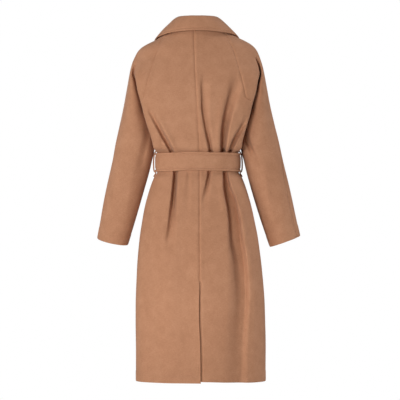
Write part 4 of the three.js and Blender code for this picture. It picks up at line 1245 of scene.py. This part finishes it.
# %% The camera
AIM = Vector((-0.0048, 0, -0.557))
DISTANCE = 6.4
FRAME_WIDTH = 1.28
SENSOR = 36

camera = add("camera", bpy.data.cameras.new("camera"))
camera.location = AIM + Vector((0, DISTANCE, 0))
camera.rotation_euler = (math.radians(90), 0, math.radians(180))
camera.data.sensor_width = SENSOR
camera.data.lens = SENSOR * DISTANCE / FRAME_WIDTH
bpy.context.scene.camera = camera
print("lens", round(camera.data.lens), "mm at", DISTANCE, "m")

# %% Light
MIDDLE = Vector((0, 0, -0.55))
AWAY = 4  # metres from there to each soft box, which is a metre square
WHITE = (1, 1, 1, 1)
STUDIO_LIGHT = 0.06  # what the white studio itself gives
# degrees round from straight behind the coat towards the wearer's left, degrees up, and watts
SOFT_BOXES = {
    "key": (20, 8, 66), "key_low": (15, -25, 44), "right_high": (-100, 45, 60),
    "right": (-100, 10, 42), "left_high": (62, 40, 28), "left": (45, 10, 28),
    "fill": (-40, 10, 10), "front": (165, 12, 62), "front_low": (195, -25, 40),
    "front_side": (120, 30, 30),
}
for name, (round_it, up, power) in SOFT_BOXES.items():
    turn, rise = math.radians(round_it), math.radians(up)
    level = math.cos(rise)
    place = MIDDLE + AWAY * Vector((math.sin(turn) * level, math.cos(turn) * level,
                                    math.sin(rise)))
    lamp = bpy.data.lights.new(name, "AREA")
    lamp.shape = "RECTANGLE"
    lamp.size, lamp.size_y = 1.0, 1.0
    lamp.energy = power
    light = add(name, lamp)
    light.location = place
    light.rotation_euler = (MIDDLE - place).to_track_quat("-Z", "Y").to_euler()

scene = bpy.context.scene
scene.view_settings.view_transform = "Standard"
scene.world = bpy.data.worlds.new("studio")
studio = Network(scene.world, "BACKGROUND")
studio.feed(studio.shader, {"Color": WHITE, "Strength": STUDIO_LIGHT})
backdrop = studio.node("ShaderNodeBackground", {}, {"Color": WHITE, "Strength": 1.0})
seen = studio.node("ShaderNodeLightPath", {}, {}).outputs["Is Camera Ray"]
choose = studio.node("ShaderNodeMixShader", {},
                     {0: seen, 1: studio.shader.outputs[0], 2: backdrop.outputs[0]})
studio.feed(studio.tree.nodes["World Output"], {"Surface": choose.outputs[0]})
print(len(SOFT_BOXES), "soft lights and a white studio")

# %% The floor
FLOOR_RADIUS, FLOOR_LEVEL = 1.1, -1.42
work = bmesh.new()
bmesh.ops.create_circle(work, cap_ends=True, segments=96, radius=FLOOR_RADIUS)
bmesh.ops.translate(work, verts=work.verts, vec=(0, 0, FLOOR_LEVEL))
floor = add_mesh("floor", work)
pale = material("pale_floor")
pale.feed(pale.shader, {"Base Color": (0.86, 0.86, 0.86, 1), "Roughness": 0.9})
floor.data.materials.append(pale.owner)
print("floor", -FLOOR_LEVEL, "m under the neck")
